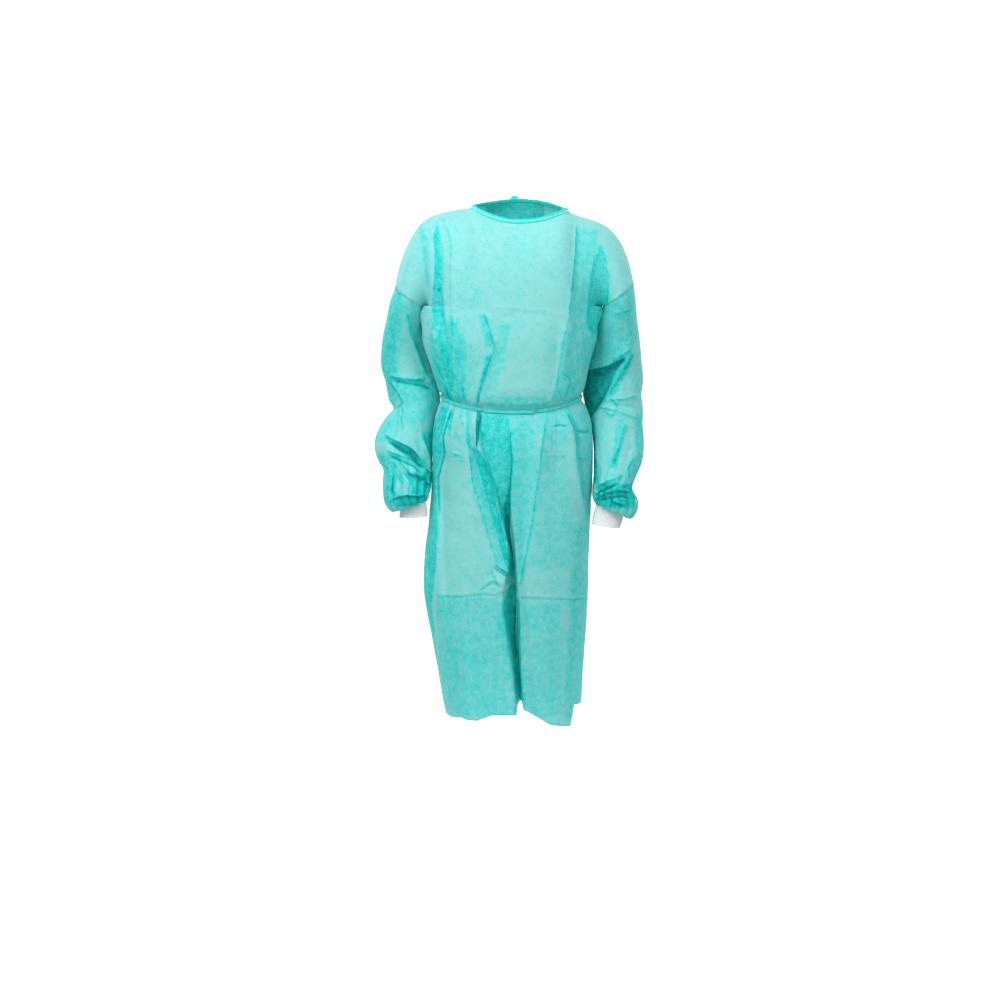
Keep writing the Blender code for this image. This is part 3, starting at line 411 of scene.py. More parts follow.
def body_rows(angle, out, ends, side):
    """Rows from the underarm to the hem: a superellipse section, pushed out by its folds.

    side is -1 for the front and 1 for the back. The belt dips and the hem leans by moving rows down.
    """
    sine = np.sin(angle)
    cosine = np.cos(angle)
    x = np.sign(sine) * half_width(ROWS, sine) * np.abs(sine) ** (2 / SQUARENESS)
    depth = smooth(ROWS, SECTIONS[:, 0], SECTIONS[:, 3 if side < 0 else 4])
    y = side * depth * np.maximum(cosine, 0) ** (2 / SQUARENESS)
    pushed = np.array([smooth(ROWS, PUSH_DROPS, p) for p in out])
    lean = sine**LEAN_POWER
    length = np.hypot(lean, cosine)
    x = x + pushed * lean / length
    fill = UNDERARM_FILL * np.exp(-(((ROWS - UNDERARM_FILL_DROP) / UNDERARM_FILL_REACH) ** 2))
    fill = fill * ease(ROWS - PIT_DROP)
    x = x + np.sign(sine) * np.abs(sine) ** UNDERARM_POWER * fill
    y = y + pushed * side * cosine / length
    dip = BELT_FRONT_DIP if side < 0 else BELT_BACK_DIP
    belt = BELT_SIDE_DROP + dip * cosine**2 - BELT_ROW
    near = ease(1 - np.abs(ROWS - BELT_ROW) / (BELT_ROW - PIT_DROP))
    low = ease((ROWS - HEM_EASE_FROM) / (HEM_ROW - HEM_EASE_FROM))
    drop = ROWS + belt * near + (ends[:, None] - HEM_ROW) * low
    return np.stack([x, y, -drop], -1).transpose(1, 0, 2)


def shoulder(x):
    """Drop of the shoulder seam at x, on the curve through its points on x's side."""
    left = smooth(-x, SHOULDER_LEFT[:, 0], SHOULDER_LEFT[:, 1])
    right = smooth(x, SHOULDER_RIGHT[:, 0], SHOULDER_RIGHT[:, 1])
    return np.where(x < 0, left, right)


def neck(x, side):
    """Point of the neck edge at x, and its share of the way from a corner to the middle."""
    bow = np.clip(1 - ((x - NECK_MIDDLE) / NECK_HALF_WIDTH) ** 2, 0, 1)
    depth = NECK_FRONT_DEPTH if side < 0 else NECK_BACK_DEPTH
    right_share = (x - NECK_MIDDLE + NECK_HALF_WIDTH) / (2 * NECK_HALF_WIDTH)
    corner = NECK_SIDE_DROPS[0] * (1 - right_share) + NECK_SIDE_DROPS[1] * right_share
    middle = NECK_FRONT_DROP if side < 0 else -NECK_BACK_RISE
    return np.stack([x, side * depth * np.sqrt(bow), -(corner * (1 - bow) + middle * bow)], -1), bow


def hermite(start, start_pull, end, end_pull, count):
    """Rows of cubic curves from start to end, leaving and arriving along the two pulls."""
    t = np.linspace(0, 1, count + 1)[:, None, None]
    head = (2 * t**3 - 3 * t**2 + 1) * start + (t**3 - 2 * t**2 + t) * start_pull
    return head + (3 * t**2 - 2 * t**3) * end + (t**3 - t**2) * end_pull


def yoke(angle, out, pit, side):
    """Rows from the neck edge and shoulder seams down to the pit row, as cubic curves."""
    x = pit[:, 0]
    on_neck, bow = neck(x, side)
    on_seam = np.stack([x, 0 * x, -shoulder(x)], -1)
    top = np.where(bow[:, None] > 1e-9, on_neck, on_seam)
    sideways = np.abs(np.sin(angle[:, 0])) ** SIDE_POWER
    pull = PULL_PER_BULGE * SIDE_BULGE
    fall = SEAM_FALL * (1 - sideways) + NECK_FALL * bow
    start = np.stack([0 * x, side * (pull - NECK_FLATTER * bow), -fall], -1)
    end = np.stack([0 * x, -side * pull * sideways, -CHEST_FALL * (1 - sideways)], -1)
    grid = hermite(top, start, pit, end, YOKE_ROWS)
    at = np.linspace(0, PIT_DROP, YOKE_ROWS + 1)
    pushed = np.array([smooth(at, PUSH_DROPS, p) for p in out]).T - out[:, 2] * (at[:, None] / PIT_DROP)
    grid[..., 1] += side * pushed
    return grid


def cap(which, side):
    """Columns that carry the body over the shoulder to the armhole, from the body's side outwards."""
    sign = -1 if which == "left" else 1
    seam = SHOULDER_LEFT if sign < 0 else SHOULDER_RIGHT
    start_x = SECTIONS[0, 1 if sign < 0 else 2]
    share = np.linspace(0, 1, CAP_COLUMNS + 1)[1:]
    run = np.concatenate([[0], np.cumsum(np.hypot(*np.diff(seam, axis=0).T))])
    first = np.interp(start_x, seam[:, 0], run)
    over = smooth(first + (run[-1] - first) * share, run, seam)
    top = np.stack([sign * over[:, 0], 0 * share, -over[:, 1]], -1)
    end_x, end_drop = UNDERARM[which]
    low_x = start_x + (end_x - start_x) * share
    low = np.stack([sign * low_x, 0 * share, -(PIT_DROP + (end_drop - PIT_DROP) * share)], -1)
    pull = np.array([0, side * PULL_PER_BULGE * SIDE_BULGE, 0])
    return hermite(top, pull, low, -pull, YOKE_ROWS)


def panel(lines, push, hem, side):
    """Grid of a body panel with its shoulder caps, and which of its cells are cloth.

    Above the pit row each point moves, in many passes, towards the mean of its two neighbours in the row,
    so that no kink runs down from the neck.
    """
    angle, out, ends = columns(lines, push, hem, -np.pi / 2 if side < 0 else np.pi / 2)
    body = body_rows(angle, out, ends, side)
    grid = np.concatenate([yoke(angle, out, body[0], side)[:-1], body])
    cells = np.ones((len(grid) - 1, grid.shape[1] - 1), bool)
    first, last = ("left", "right") if side < 0 else ("right", "left")
    wings = (cap(first, side)[:, ::-1], cap(last, side))
    there = np.zeros((len(cells), CAP_COLUMNS), bool)
    there[:YOKE_ROWS] = True
    padded = [np.concatenate([w, np.repeat(w[-1:], len(grid) - len(w), axis=0)]) for w in wings]
    grid = np.concatenate([padded[0], grid, padded[1]], axis=1)
    rows = np.arange(YOKE_ROWS + 1)
    hold = SOFTENING * ease(rows / SOFTENING_EDGE) * ease((YOKE_ROWS - rows) / SOFTENING_EDGE)
    for _ in range(SOFTENING_PASSES):
        top = grid[:YOKE_ROWS + 1]
        top[:, 1:-1] += hold[:, None, None] * ((top[:, 2:] + top[:, :-2]) / 2 - top[:, 1:-1])
    return grid, np.concatenate([there, cells, there], axis=1)


def unit(vectors):
    """The vectors, each divided by its length."""
    return vectors / np.maximum(np.linalg.norm(vectors, axis=-1, keepdims=True), 1e-9)


def surface_normals(grid, cells, closed=False):
    """Each point's normal: the mean of the normals of the cells round it."""
    across = np.roll(grid, -1, axis=1) if closed else grid[:, 1:]
    here = grid if closed else grid[:, :-1]
    face = np.cross(across[1:] - here[:-1], across[:-1] - here[1:])
    face = unit(face) * cells[..., None]
    total = np.zeros_like(grid)
    if closed:
        both = face + np.roll(face, 1, axis=1)
        total[:-1] += both
        total[1:] += both
    else:
        total[:-1, :-1] += face
        total[1:, :-1] += face
        total[:-1, 1:] += face
        total[1:, 1:] += face
    return unit(total)


def along_line(x, drop, points):
    """How far each place is from the line through the points, and how far from the line's nearer end."""
    points = np.array(points, float)
    steps = np.diff(points, axis=0)
    lengths = np.hypot(*steps.T)
    starts = np.concatenate([[0], np.cumsum(lengths)])
    away = np.full(x.shape, 1e9)
    run = np.zeros(x.shape)
    for corner, step, length, start in zip(points, steps, lengths, starts):
        t = ((x - corner[0]) * step[0] + (drop - corner[1]) * step[1]) / length**2
        t = np.clip(t, 0, 1)
        gap = np.hypot(x - corner[0] - t * step[0], drop - corner[1] - t * step[1])
        run = np.where(gap < away, start + t * length, run)
        away = np.minimum(away, gap)
    return away, np.minimum(run, starts[-1] - run), starts[-1]


def creases_on(x, drop, creases):
    """Height, and density with painted shade and highlights, that the creases give: each is a rounded ridge
    that fades out at its ends.
    """
    height = np.zeros(x.shape)
    dense = np.zeros(x.shape)
    for depth, width, tint, points in creases:
        away, to_end, length = along_line(x, drop, points)
        fade = ease(to_end / min(CREASE_FADE, length / 3))
        height += depth * fade * np.exp(-(away / width) ** CREASE_POWER)
        dense = dense + tint * fade * np.exp(-((away / (CREASE_TINT_SHARE * width)) ** 2))
    return height, dense


def faces_on(x, drop, faces):
    """Density and painted shade that the faces give: even between the edges, easing out over each edge and
    over both ends.
    """
    dense = np.zeros(x.shape)
    for amount, soft_left, soft_right, stations in faces:
        at, left, right = np.array(stations, float).T
        inside = ease((x - np.interp(drop, at, left)) / soft_left + 0.5)
        inside = inside * ease((np.interp(drop, at, right) - x) / soft_right + 0.5)
        fade = min(FACE_FADE, (at[-1] - at[0]) / 4)
        inside = inside * ease((drop - at[0]) / fade + 0.5) * ease((at[-1] - drop) / fade + 0.5)
        dense = np.maximum(dense, amount * inside)
    return dense


def ripples(points, seed):
    """A slight unevenness: a sum of sine waves in many directions, with lengths from short to long."""
    chance = np.random.default_rng(seed)
    total = np.zeros(points.shape[:-1])
    for length in np.geomspace(*RIPPLE_LENGTHS, RIPPLE_WAVES):
        direction = unit(chance.normal(size=3) * (1, 1, RIPPLE_UPRIGHT))
        phase = chance.uniform(0, 2 * np.pi)
        size = (length / RIPPLE_LENGTHS[1]) ** RIPPLE_POWER
        total += size * np.sin(points @ direction * 2 * np.pi / length + phase)
    return total * RIPPLE / 2


def add_mesh(name, points, faces, material, uv=None, layers_and_shade=None):
    """A named object from points in millimetres, with a UV for each corner of its faces if given."""
    mesh = bpy.data.meshes.new(name)
    mesh.from_pydata((points * MM).tolist(), [], faces)
    mesh.materials.append(material)
    mesh.shade_smooth()
    if uv is not None:
        cut = mesh.uv_layers.new(name="cut")
        cut.data.foreach_set("uv", uv.astype(np.float32).ravel())
    if layers_and_shade is not None:
        dense = mesh.attributes.new("layers_and_shade", "FLOAT", "POINT")
        dense.data.foreach_set("value", layers_and_shade.astype(np.float32).ravel())
    mesh.update()
    piece = bpy.data.objects.new(name, mesh)
    bpy.context.scene.collection.objects.link(piece)
    return piece


def add_cloth(name, grid, cells, layers_and_shade, material, closed=False, turned=False, thickness=CLOTH_THICKNESS):
    """A thin shell through the grid. Its UV is the way across and down the cloth, in metres."""
    rows, width = grid.shape[:2]
    full = np.concatenate([grid, grid[:, :1]], axis=1) if closed else grid
    across = np.cumsum(np.linalg.norm(np.diff(full, axis=1, prepend=full[:, :1]), axis=-1), axis=1)
    across = across - across[:, full.shape[1] // 2][:, None]
    down = np.cumsum(np.linalg.norm(np.diff(full, axis=0, prepend=full[:1]), axis=-1), axis=0)
    cut = np.stack([across, down], -1) * MM
    r, c = np.nonzero(cells)
    order = ((r, c), (r + 1, c), (r + 1, c + 1), (r, c + 1))
    if turned:
        order = order[::-1]
    quads = np.stack([a * width + b % width for a, b in order], -1)
    uv = np.stack([cut[a, b] for a, b in order], 1)
    used, renumbered = np.unique(quads, return_inverse=True)
    piece = add_mesh(
        name, grid.reshape(-1, 3)[used], renumbered.reshape(-1, 4).tolist(), material, uv,
        layers_and_shade.ravel()[used])
    shell = piece.modifiers.new("thickness", "SOLIDIFY")
    shell.thickness = thickness * MM
    shell.offset = -1
    return piece


def node(tree, kind, place, links=(), sockets=None, **values):
    """A shader node with its properties and sockets set, and links into it as (socket, from node, output)."""
    made = tree.nodes.new(kind)
    made.location = place
    for key, value in values.items():
        setattr(made, key, value)
    for socket, value in (sockets or {}).items():
        made.inputs[socket].default_value = value
    for socket, source, output in links:
        tree.links.new(source.outputs[output], made.inputs[socket])
    return made


def new_material(name, sockets):
    """A material, its tree and its main shader, with that shader's sockets set."""
    material = bpy.data.materials.new(name)
    material.use_nodes = True
    shader = material.node_tree.nodes["Principled BSDF"]
    for socket, value in sockets.items():
        shader.inputs[socket].default_value = value
    return material, material.node_tree, shader


def feed(tree, shader, colour, output, bump=None):
    """Links a colour, and a bump if there is one, to the main shader."""
    tree.links.new(colour.outputs[output], shader.inputs["Base Color"])
    if bump:
        tree.links.new(bump.outputs["Normal"], shader.inputs["Normal"])


def nonwoven(name, pale, dense, shaded):
    """Thin spunbonded cloth: its fibres lie in clouds and flecks, and it is deeper where it lies double and
    where shade is painted on it.

    The attribute runs from 0, one pale layer, over 1, dense double cloth, to 2, painted shade. Noise moves
    it up and down, and the result picks the colour. A translucent share lets light through.
    """
    material, tree, shader = new_material(name, {
        "Roughness": 0.62, "Specular IOR Level": 0.15, "Sheen Weight": 0.06, "Sheen Roughness": 0.5,
        "Sheen Tint": (0.6, 1.0, 0.97, 1),
    })
    place = node(tree, "ShaderNodeTexCoord", (-1700, 0))
    on_object = [("Vector", place, "Object")]
    total = node(tree, "ShaderNodeAttribute", (-1500, 400), attribute_name="layers_and_shade")
    clouds = node(tree, "ShaderNodeTexNoise", (-1500, 200), on_object,
                  {"Scale": 88, "Detail": 8, "Roughness": 0.72})
    broad = node(tree, "ShaderNodeTexNoise", (-1500, -50), on_object, {"Scale": 11, "Detail": 3})
    flecks = node(tree, "ShaderNodeTexNoise", (-1500, -300), on_object,
                  {"Scale": 500, "Detail": 3, "Roughness": 0.8})
    result = "Fac"
    for i, (source, amount) in enumerate(((clouds, 2.1), (broad, 0.6), (flecks, 2.0))):
        centred = node(tree, "ShaderNodeMath", (-1250, 200 - 200 * i), [(0, source, "Fac")], {1: 0.5},
                       operation="SUBTRACT")
        total = node(tree, "ShaderNodeMath", (-1050 + 150 * i, 300),
                     [(0, centred, "Value"), (2, total, result)], {1: amount}, operation="MULTIPLY_ADD")
        result = "Value"
    halved = node(tree, "ShaderNodeMath", (-600, 300), [(0, total, "Value")], {1: 0.5}, operation="MULTIPLY")
    colour = node(tree, "ShaderNodeValToRGB", (-450, 300), [("Fac", halved, "Value")])
    stops = colour.color_ramp.elements
    stops[0].position = 0
    stops[0].color = pale
    stops[1].position = 1
    stops[1].color = shaded
    stops.new(0.5).color = dense
    cut = node(tree, "ShaderNodeUVMap", (-1500, -700), uv_map="cut")
    bonds = node(tree, "ShaderNodeTexVoronoi", (-1300, -700), [("Vector", cut, "UV")],
                 {"Scale": 620, "Randomness": 0.25})
    relief = node(tree, "ShaderNodeMath", (-1050, -650), [(0, flecks, "Fac"), (1, bonds, "Distance")],
                  operation="ADD")
    crumple = node(tree, "ShaderNodeTexNoise", (-1300, -950), on_object,
                   {"Scale": 30, "Detail": 2, "Distortion": 0.8})
    fine = node(tree, "ShaderNodeBump", (-400, -500), [("Height", relief, "Value")],
                {"Strength": 0.35, "Distance": 0.0004})
    rough = node(tree, "ShaderNodeBump", (-200, -500),
                 [("Height", crumple, "Fac"), ("Normal", fine, "Normal")],
                 {"Strength": 0.5, "Distance": 0.004})
    feed(tree, shader, colour, "Color", rough)
    glow = node(tree, "ShaderNodeBsdfTranslucent", (0, -300), [("Color", colour, "Color")])
    mixed = node(tree, "ShaderNodeMixShader", (300, 0), [(1, shader, "BSDF"), (2, glow, "BSDF")],
                 {"Fac": 0.35})
    tree.links.new(mixed.outputs["Shader"], tree.nodes["Material Output"].inputs["Surface"])
    return material


# One layer is pale, double cloth is dense, and the shaded colour is painted shade for hollows and sides
# turned from the light.
PALE_MINT = (0.42, 0.88, 0.87, 1)
DENSE_MINT = (0.012, 0.84, 0.81, 1)
SHADED_MINT = (0.004, 0.36, 0.35, 1)
cloth = nonwoven("mint_nonwoven", PALE_MINT, DENSE_MINT, SHADED_MINT)


def dressed(grid, cells, creases, faces, seed):
    """The grid with its creases and ripples, and how dense the cloth looks at each point, painted shade
    included.
    """
    normals = surface_normals(grid, cells)
    x = grid[..., 0]
    drop = -grid[..., 2]
    height, dense = creases_on(x, drop, creases)
    rows = np.concatenate([np.linspace(0, PIT_DROP, YOKE_ROWS + 1)[:-1], ROWS])
    calm = ease((np.abs(rows - BELT_ROW) - BELT_FLAT) / BELT_CALM)[:, None]
    calm = calm * ease(rows / NECK_CALM)[:, None]
    grid = grid + normals * ((height + ripples(grid, seed)) * calm)[..., None]
    return grid, PLAIN_DENSITY + dense + faces_on(x, drop, faces)


front_plain, front_cells = panel(FRONT_LINES, FRONT_PUSH, FRONT_HEM, -1)
front_grid, front_density_and_shade = dressed(front_plain, front_cells, FRONT_CREASES, FRONT_FACES, 3)
front_panel = add_cloth("front_cloth", front_grid, front_cells, front_density_and_shade, cloth)
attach(front_panel, "root")
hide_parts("front_panel")


# Back panels: two halves of the same cloth. The right half lies outside the left one from the neck
# to the hem, and the belt and the neck tie hold them together.
BACK_LINES = {
    "right_back_edge": (142, 120, 143, 142, 139, 136, 130, 122),
    "right_back_fold": (110, 98, 118, 120, 118, 116, 112, 106),
    "right_back_dip": (86, 76, 90, 92, 90, 88, 86, 84),
    "under_edge": (58, 52, 60, 62, 60, 58, 58, 60),
    "right_lap_fold": (32, 28, 34, 34, 32, 28, 28, 30),
    "lap_dip": (4, 4, 4, 2, -2, -6, -4, 0),
    "left_lap_fold": (-26, -22, -28, -32, -38, -42, -38, -30),
    "outer_edge": (-58, -52, -62, -66, -70, -72, -66, -56),
    "left_back_dip": (-90, -80, -94, -98, -104, -104, -96, -82),
    "left_back_fold": (-122, -108, -124, -128, -138, -136, -124, -106),
    "left_back_edge": (-150, -132, -150, -154, -164, -162, -146, -126),
}
BACK_PUSH = {
    "right_back_edge": (0, -2, -3, -2, 0, -3, -5, -4, -2, 0, 0, 0),
    "right_back_fold": (0, 1, 3, 3, 0, 5, 9, 9, 8, 8, 9, 11),
    "right_back_dip": (0, 0, 0, 0, 0, -3, -6, -6, -6, -6, -7, -9),
    "under_edge": (0, 0, 0, 2, 0, 3, 5, 5, 6, 7, 8, 10),
    "right_lap_fold": (0, 0, 0, 1, 0, 1, 2, 2, 2, 2, 3, 4),
    "lap_dip": (0, 0, -2, -3, 0, -3, -5, -6, -7, -8, -9, -10),
    "left_lap_fold": (0, 0, 0, 1, 0, 3, 6, 8, 8, 9, 10, 12),
    "outer_edge": (0, 0, 0, 0, 0, -1, -3, -3, -3, -3, -4, -5),
    "left_back_dip": (0, 0, 0, 0, 0, -3, -6, -8, -9, -10, -11, -14),
    "left_back_fold": (0, 2, 4, 4, 0, 6, 9, 8, 6, 5, 6, 8),
    "left_back_edge": (0, -2, -3, -2, 0, -3, -4, -2, 0, 0, 0, 0),
}
BACK_HEM = {
    "right_back_edge": 1006, "right_back_fold": 1010, "right_back_dip": 1004, "under_edge": 1008,
    "right_lap_fold": 1010, "lap_dip": 1006, "left_lap_fold": 1012, "outer_edge": 1006,
    "left_back_dip": 1004, "left_back_fold": 1018, "left_back_edge": 1028,
}
NECK_BACK_LINES = ("right_back_fold", "left_back_dip")
LAP_LIFT = 3
LAP_EASE_LINES = 2  # the outer half rises over this many fold lines before the under one's edge
# Creases of the back, in the front's form: their density is double cloth, and painted shade in troughs.
BACK_CREASES = (
    (1.3, 4, 0.4, ((120, 50), (116, 120), (110, 210), (104, 300))),
    (-1.6, 8, 0.1, ((136, 60), (140, 140), (136, 230), (122, 340))),
    (1.4, 4, 0.4, ((-128, 46), (-122, 130), (-118, 230), (-112, 330))),
    (-1.6, 8, 0.1, ((-146, 70), (-150, 150), (-150, 240), (-134, 350))),
    (1.1, 3.5, 0.5, ((-150, 206), (-90, 204), (-20, 208), (60, 212), (140, 208))),
    (1.6, 6, 0.3, ((34, 226), (26, 280), (40, 330), (34, 392))),
    (-1.4, 8, 0.0, ((62, 240), (56, 300), (64, 384))),
    (1.3, 5, 0.2, ((-70, 250), (-84, 310), (-78, 388))),
    (1.2, 4, 0.3, ((96, 300), (106, 340), (96, 392))),
    (-1.2, 5, 0.1, ((-20, 300), (-10, 350), (-16, 394))),
    (1.4, 4, 0.5, ((100, 410), (118, 470), (122, 560), (120, 640))),
    (1.2, 4, 0.4, ((-110, 410), (-124, 470), (-128, 580))),
    (1.1, 3.5, 0.4, ((28, 410), (34, 480), (30, 600), (26, 700))),
    (-1.2, 6, 0.1, ((-50, 414), (-64, 480), (-70, 560))),
    (1.2, 3.2, 0.5, ((-160, 776), (-100, 774), (-40, 777), (30, 773), (90, 776), (138, 774))),
    (1.1, 3, 0.4, ((-140, 492), (-100, 496), (-70, 492))),
    (1.0, 3, 0.4, ((70, 496), (110, 494), (140, 497))),
    (1.3, 3, 0.5, ((40, 720), (52, 742), (76, 758))),
    (1.2, 3, 0.4, ((20, 790), (48, 762), (60, 742))),
    (-1.0, 9, 0.0, ((-110, 620), (-80, 640), (-50, 634))),
    (-0.9, 9, 0.0, ((60, 880), (90, 900), (116, 890))),
    (1.0, 6, 0.2, ((-120, 840), (-112, 920), (-104, 1000))),
    (0.9, 6, 0.1, ((112, 820), (110, 900), (104, 990))),
)
# Faces of the back, in the front's form: double cloth where the halves lap, painted shade where a face turns
# from the light or lies under the bloused cloth.
BACK_FACES = (
    (0.62, 3, 2, ((-20, -60, 58), (200, -58, 58), (400, -52, 52), (500, -62, 60), (700, -71, 58),
                  (850, -69, 58),
                  (1030, -56, 60))),
    (0.50, 12, 8, ((90, -160, -156), (150, -166, -148), (230, -168, -150), (300, -152, -134),
                   (396, -128, -122))),
    (0.50, 8, 12, ((80, 146, 150), (150, 140, 160), (230, 142, 160), (300, 128, 146), (396, 114, 120))),
    (0.60, 14, 10, ((404, -150, -126), (460, -182, -136), (560, -200, -142), (720, -205, -152),
                    (1020, -190, -130))),
    (0.60, 10, 14, ((404, 120, 150), (460, 130, 182), (560, 136, 190), (720, 130, 180), (1020, 118, 170))),
    (0.70, 4, 14, ((404, 94, 102), (440, 102, 116), (500, 112, 126), (600, 117, 126), (700, 119, 121))),
    (0.70, 14, 4, ((404, -100, -95), (440, -112, -102), (500, -124, -112), (580, -128, -118),
                   (660, -126, -122))),
    # the lower skirt, painted a little darker
    (0.30, 16, 16, ((778, -170, 160), (1030, -160, 150))),
    (0.55, 20, 10, ((540, -104, -98), (640, -114, -88), (760, -118, -86), (880, -108, -78),
                    (1020, -98, -70))),
    (0.40, 20, 20, ((230, -44, -20), (300, -40, -10), (396, -30, 0))),
    # painted shade under the cloth that blouses over the belt
    (0.45, 16, 16, ((378, -90, 90), (402, -90, 90))),
    (0.60, 3, 5, ((404, -40, -30), (440, -44, -32), (520, -50, -40), (600, -54, -50))),
)


def line_column(lines, name):
    """Number of the column that a fold line is, on a panel with its shoulder caps."""
    return CAP_COLUMNS + FINE_COLUMNS * (list(lines).index(name) + 1)


back_plain, back_cells = panel(BACK_LINES, BACK_PUSH, BACK_HEM, 1)
back_grid, back_density_and_shade = dressed(back_plain, back_cells, BACK_CREASES, BACK_FACES, 3)
under_start = line_column(BACK_LINES, "under_edge")
outer_end = line_column(BACK_LINES, "outer_edge")
column = np.arange(back_grid.shape[1])
rise = (column - under_start) / (LAP_EASE_LINES * FINE_COLUMNS) + 1
lap_lift = (LAP_LIFT * ease(rise))[:, None] * surface_normals(back_plain, back_cells)
back_over = back_grid + lap_lift
halves = (
    ("back_cloth_right", "back_panel_right", back_over, slice(0, outer_end + 1)),
    ("back_cloth_left", "back_panel_left", back_grid, slice(under_start, back_grid.shape[1])),
)
for name, solid, grid, part in halves:
    half_cells = back_cells[:, part.start:part.stop - 1]
    half = add_cloth(name, grid[:, part], half_cells, back_density_and_shade[:, part], cloth)
    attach(half, "root")
    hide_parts(solid)


# Sleeves: wide tubes of the same cloth, sewn into dropped armholes and gathered on to the cuffs. Long
# slanting folds cross them at the bend and above the cuff.
SLEEVE_LEFT = np.array([
    # drop_out out drop_in in front back
    (190, 254, 214, 190, 60, 72),
    (235, 265, 240, 188.5, 44, 90),
    (280, 274, 275, 184, 28, 106),
    (323, 275, 312, 175, 16, 114),
    (360, 266, 346, 165, 14, 112),
    (392, 259, 380, 157, 20, 105),
    (412, 250, 402, 157, 26, 96),
    (432, 266, 422, 163, 36, 86),
    (466, 284, 456, 170, 52, 70),
    (490, 286, 486, 172, 66, 54),
    (516, 277, 516, 172, 80, 40),
    (532, 266, 542, 173, 92, 26),
    (562, 265, 570, 174, 106, 8),
    (592, 263, 581, 175, 112, -8),
    (612, 252, 589, 176, 108, -14),
    (609, 240, 588, 178, 97, -28),
], float)
SLEEVE_RIGHT = np.array([
    (184, 246, 214, 181, 60, 72),
    (228, 251, 240, 170, 44, 90),
    (272, 258, 275, 167, 28, 106),
    (315, 263, 312, 158, 16, 114),
    (352, 265, 346, 150, 14, 112),
    (384, 261, 378, 145, 20, 105),
    (412, 264, 404, 149, 26, 96),
    (449, 264, 440, 160, 42, 80),
    (491, 265, 480, 164, 62, 58),
    (520, 260, 514, 164, 78, 42),
    (545, 248, 542, 164, 92, 26),
    (568, 238, 566, 162, 104, 10),
    (592, 247, 582, 160, 112, -4),
    (612, 246, 591, 160, 112, -9),
    (627, 237, 595, 161, 108, -14),
    (623, 229, 594, 162, 97, -27),
], float)
CUFF_LEFT = np.array([
    (580, 231, 580, 181, 82, -40),
    (594, 232, 593, 180, 85, -39),
    (611, 233, 609, 178, 88, -38),
    (627, 234, 624, 176, 90, -38),
], float)
CUFF_RIGHT = np.array([
    (594, 222, 586, 168, 82, -38),
    (611, 223, 600, 165, 85, -37),
    (630, 219, 620, 160, 88, -37),
    (648, 214, 640, 155, 90, -38),
], float)
CUFF_SEAM_ROW = 1
CUFF_SEAM_LIFT = 0.6  # the sleeve ends this far outside the cuff
SLEEVE_DENSITY = 0.24
SLEEVE_FOLDS = 1.25
SLEEVE_TUCK = 1.4  # the sleeve starts this far inside the armhole
RING_ROWS = 14  # rows of the shell from one ring to the next
GATHERS = 16
GATHER_ROWS = (0.8, 1.6, 2.2, 2.2, 1.6, 1.0)  # their height at the last rings
GATHER_WAVES = ((0.3, 3), (0.2, 7))  # how uneven they are, and in how many waves round the sleeve
SMALL_GATHERS = 0.35  # height of the small gathers between them
# painted shade in the hollows between the gathers
GATHER_HOLLOW_SHADE = 0.12
FACING = (4, 0.3)  # how quickly a crease or face ends at the side of the sleeve, and how far round
BACK_SHARE = 0.35  # how much of the front's faces the back of the sleeve shows
ARMHOLE_DENSITY = 0.5
ARMHOLE_RINGS = 0.2  # the dense edge of the armhole seam
HELD_RINGS = (3, 2)  # over these the creases set in at the armhole and end at the cuff
PRESSED_POWER = 3
# How far each ring's inner side moves towards the body
PRESSED = (0, 7, 4, 4, 4, 4, 4, 4, 4, 4, 4, 3, 3, 2, 0)
# Creases of a sleeve's front, and of its back, both by their places in the front view. Their density is
# double cloth on a fold's edge and painted shade along troughs.
LEFT_SLEEVE_CREASES = (
    (3.3, 4.8, 0.75, ((-218, 206), (-212, 256), (-184, 336), (-164, 362))),
    (-3.4, 8, 0, ((-206, 210), (-200, 256), (-176, 330), (-164, 350))),
    (4, 4, 0.75, ((-262, 342), (-227, 348), (-200, 352), (-180, 346))),
    (-3.4, 5, 0.72, ((-252, 352), (-218, 358), (-190, 362), (-164, 372))),
    (2.9, 3.2, 0.85, ((-260, 346), (-240, 374), (-227, 394), (-240, 412))),
    (-2.4, 5, 0, ((-252, 372), (-240, 392), (-250, 404))),
    (2.4, 3.2, 0.75, ((-226, 400), (-229, 430), (-227, 461))),
    (-2.2, 6, 0.24, ((-236, 408), (-238, 440), (-240, 462))),
    (4.6, 4, 0.75, ((-268, 460), (-249, 470), (-215, 486), (-191, 510), (-180, 524))),
    (-4, 5, 0.8, ((-262, 470), (-244, 480), (-212, 497), (-190, 520))),
    (4, 4, 0.75, ((-266, 490), (-236, 500), (-209, 510), (-184, 528), (-166, 544))),
    (-3.4, 4, 0.88, ((-258, 500), (-232, 509), (-206, 520), (-182, 540))),
    (3.3, 3, 0.85, ((-244, 508), (-241, 518), (-236, 540), (-218, 564))),
    (-2.4, 3.5, 0.72, ((-236, 516), (-230, 540), (-214, 560))),
    (3.5, 3, 0.85, ((-236, 510), (-230, 516), (-212, 538), (-182, 553), (-170, 568))),
    (-2.8, 3.5, 0.96, ((-204, 536), (-190, 544), (-176, 552))),
    (2.6, 3.2, 0.75, ((-190, 455), (-186, 470), (-178, 492), (-166, 535))),
    (-2, 5, 0.16, ((-198, 462), (-190, 494), (-178, 530))),
    (2, 3.2, 1.05, ((-243, 530), (-245, 556), (-248, 582))),
    (2.6, 3, 1.05, ((-252, 590), (-236, 584), (-218, 579), (-196, 582), (-174, 578))),
    (-1.8, 8, 0, ((-246, 240), (-252, 290), (-250, 326))),
    (1.3, 3.2, 0.75, ((-199, 262), (-193, 240), (-190, 222))),
)
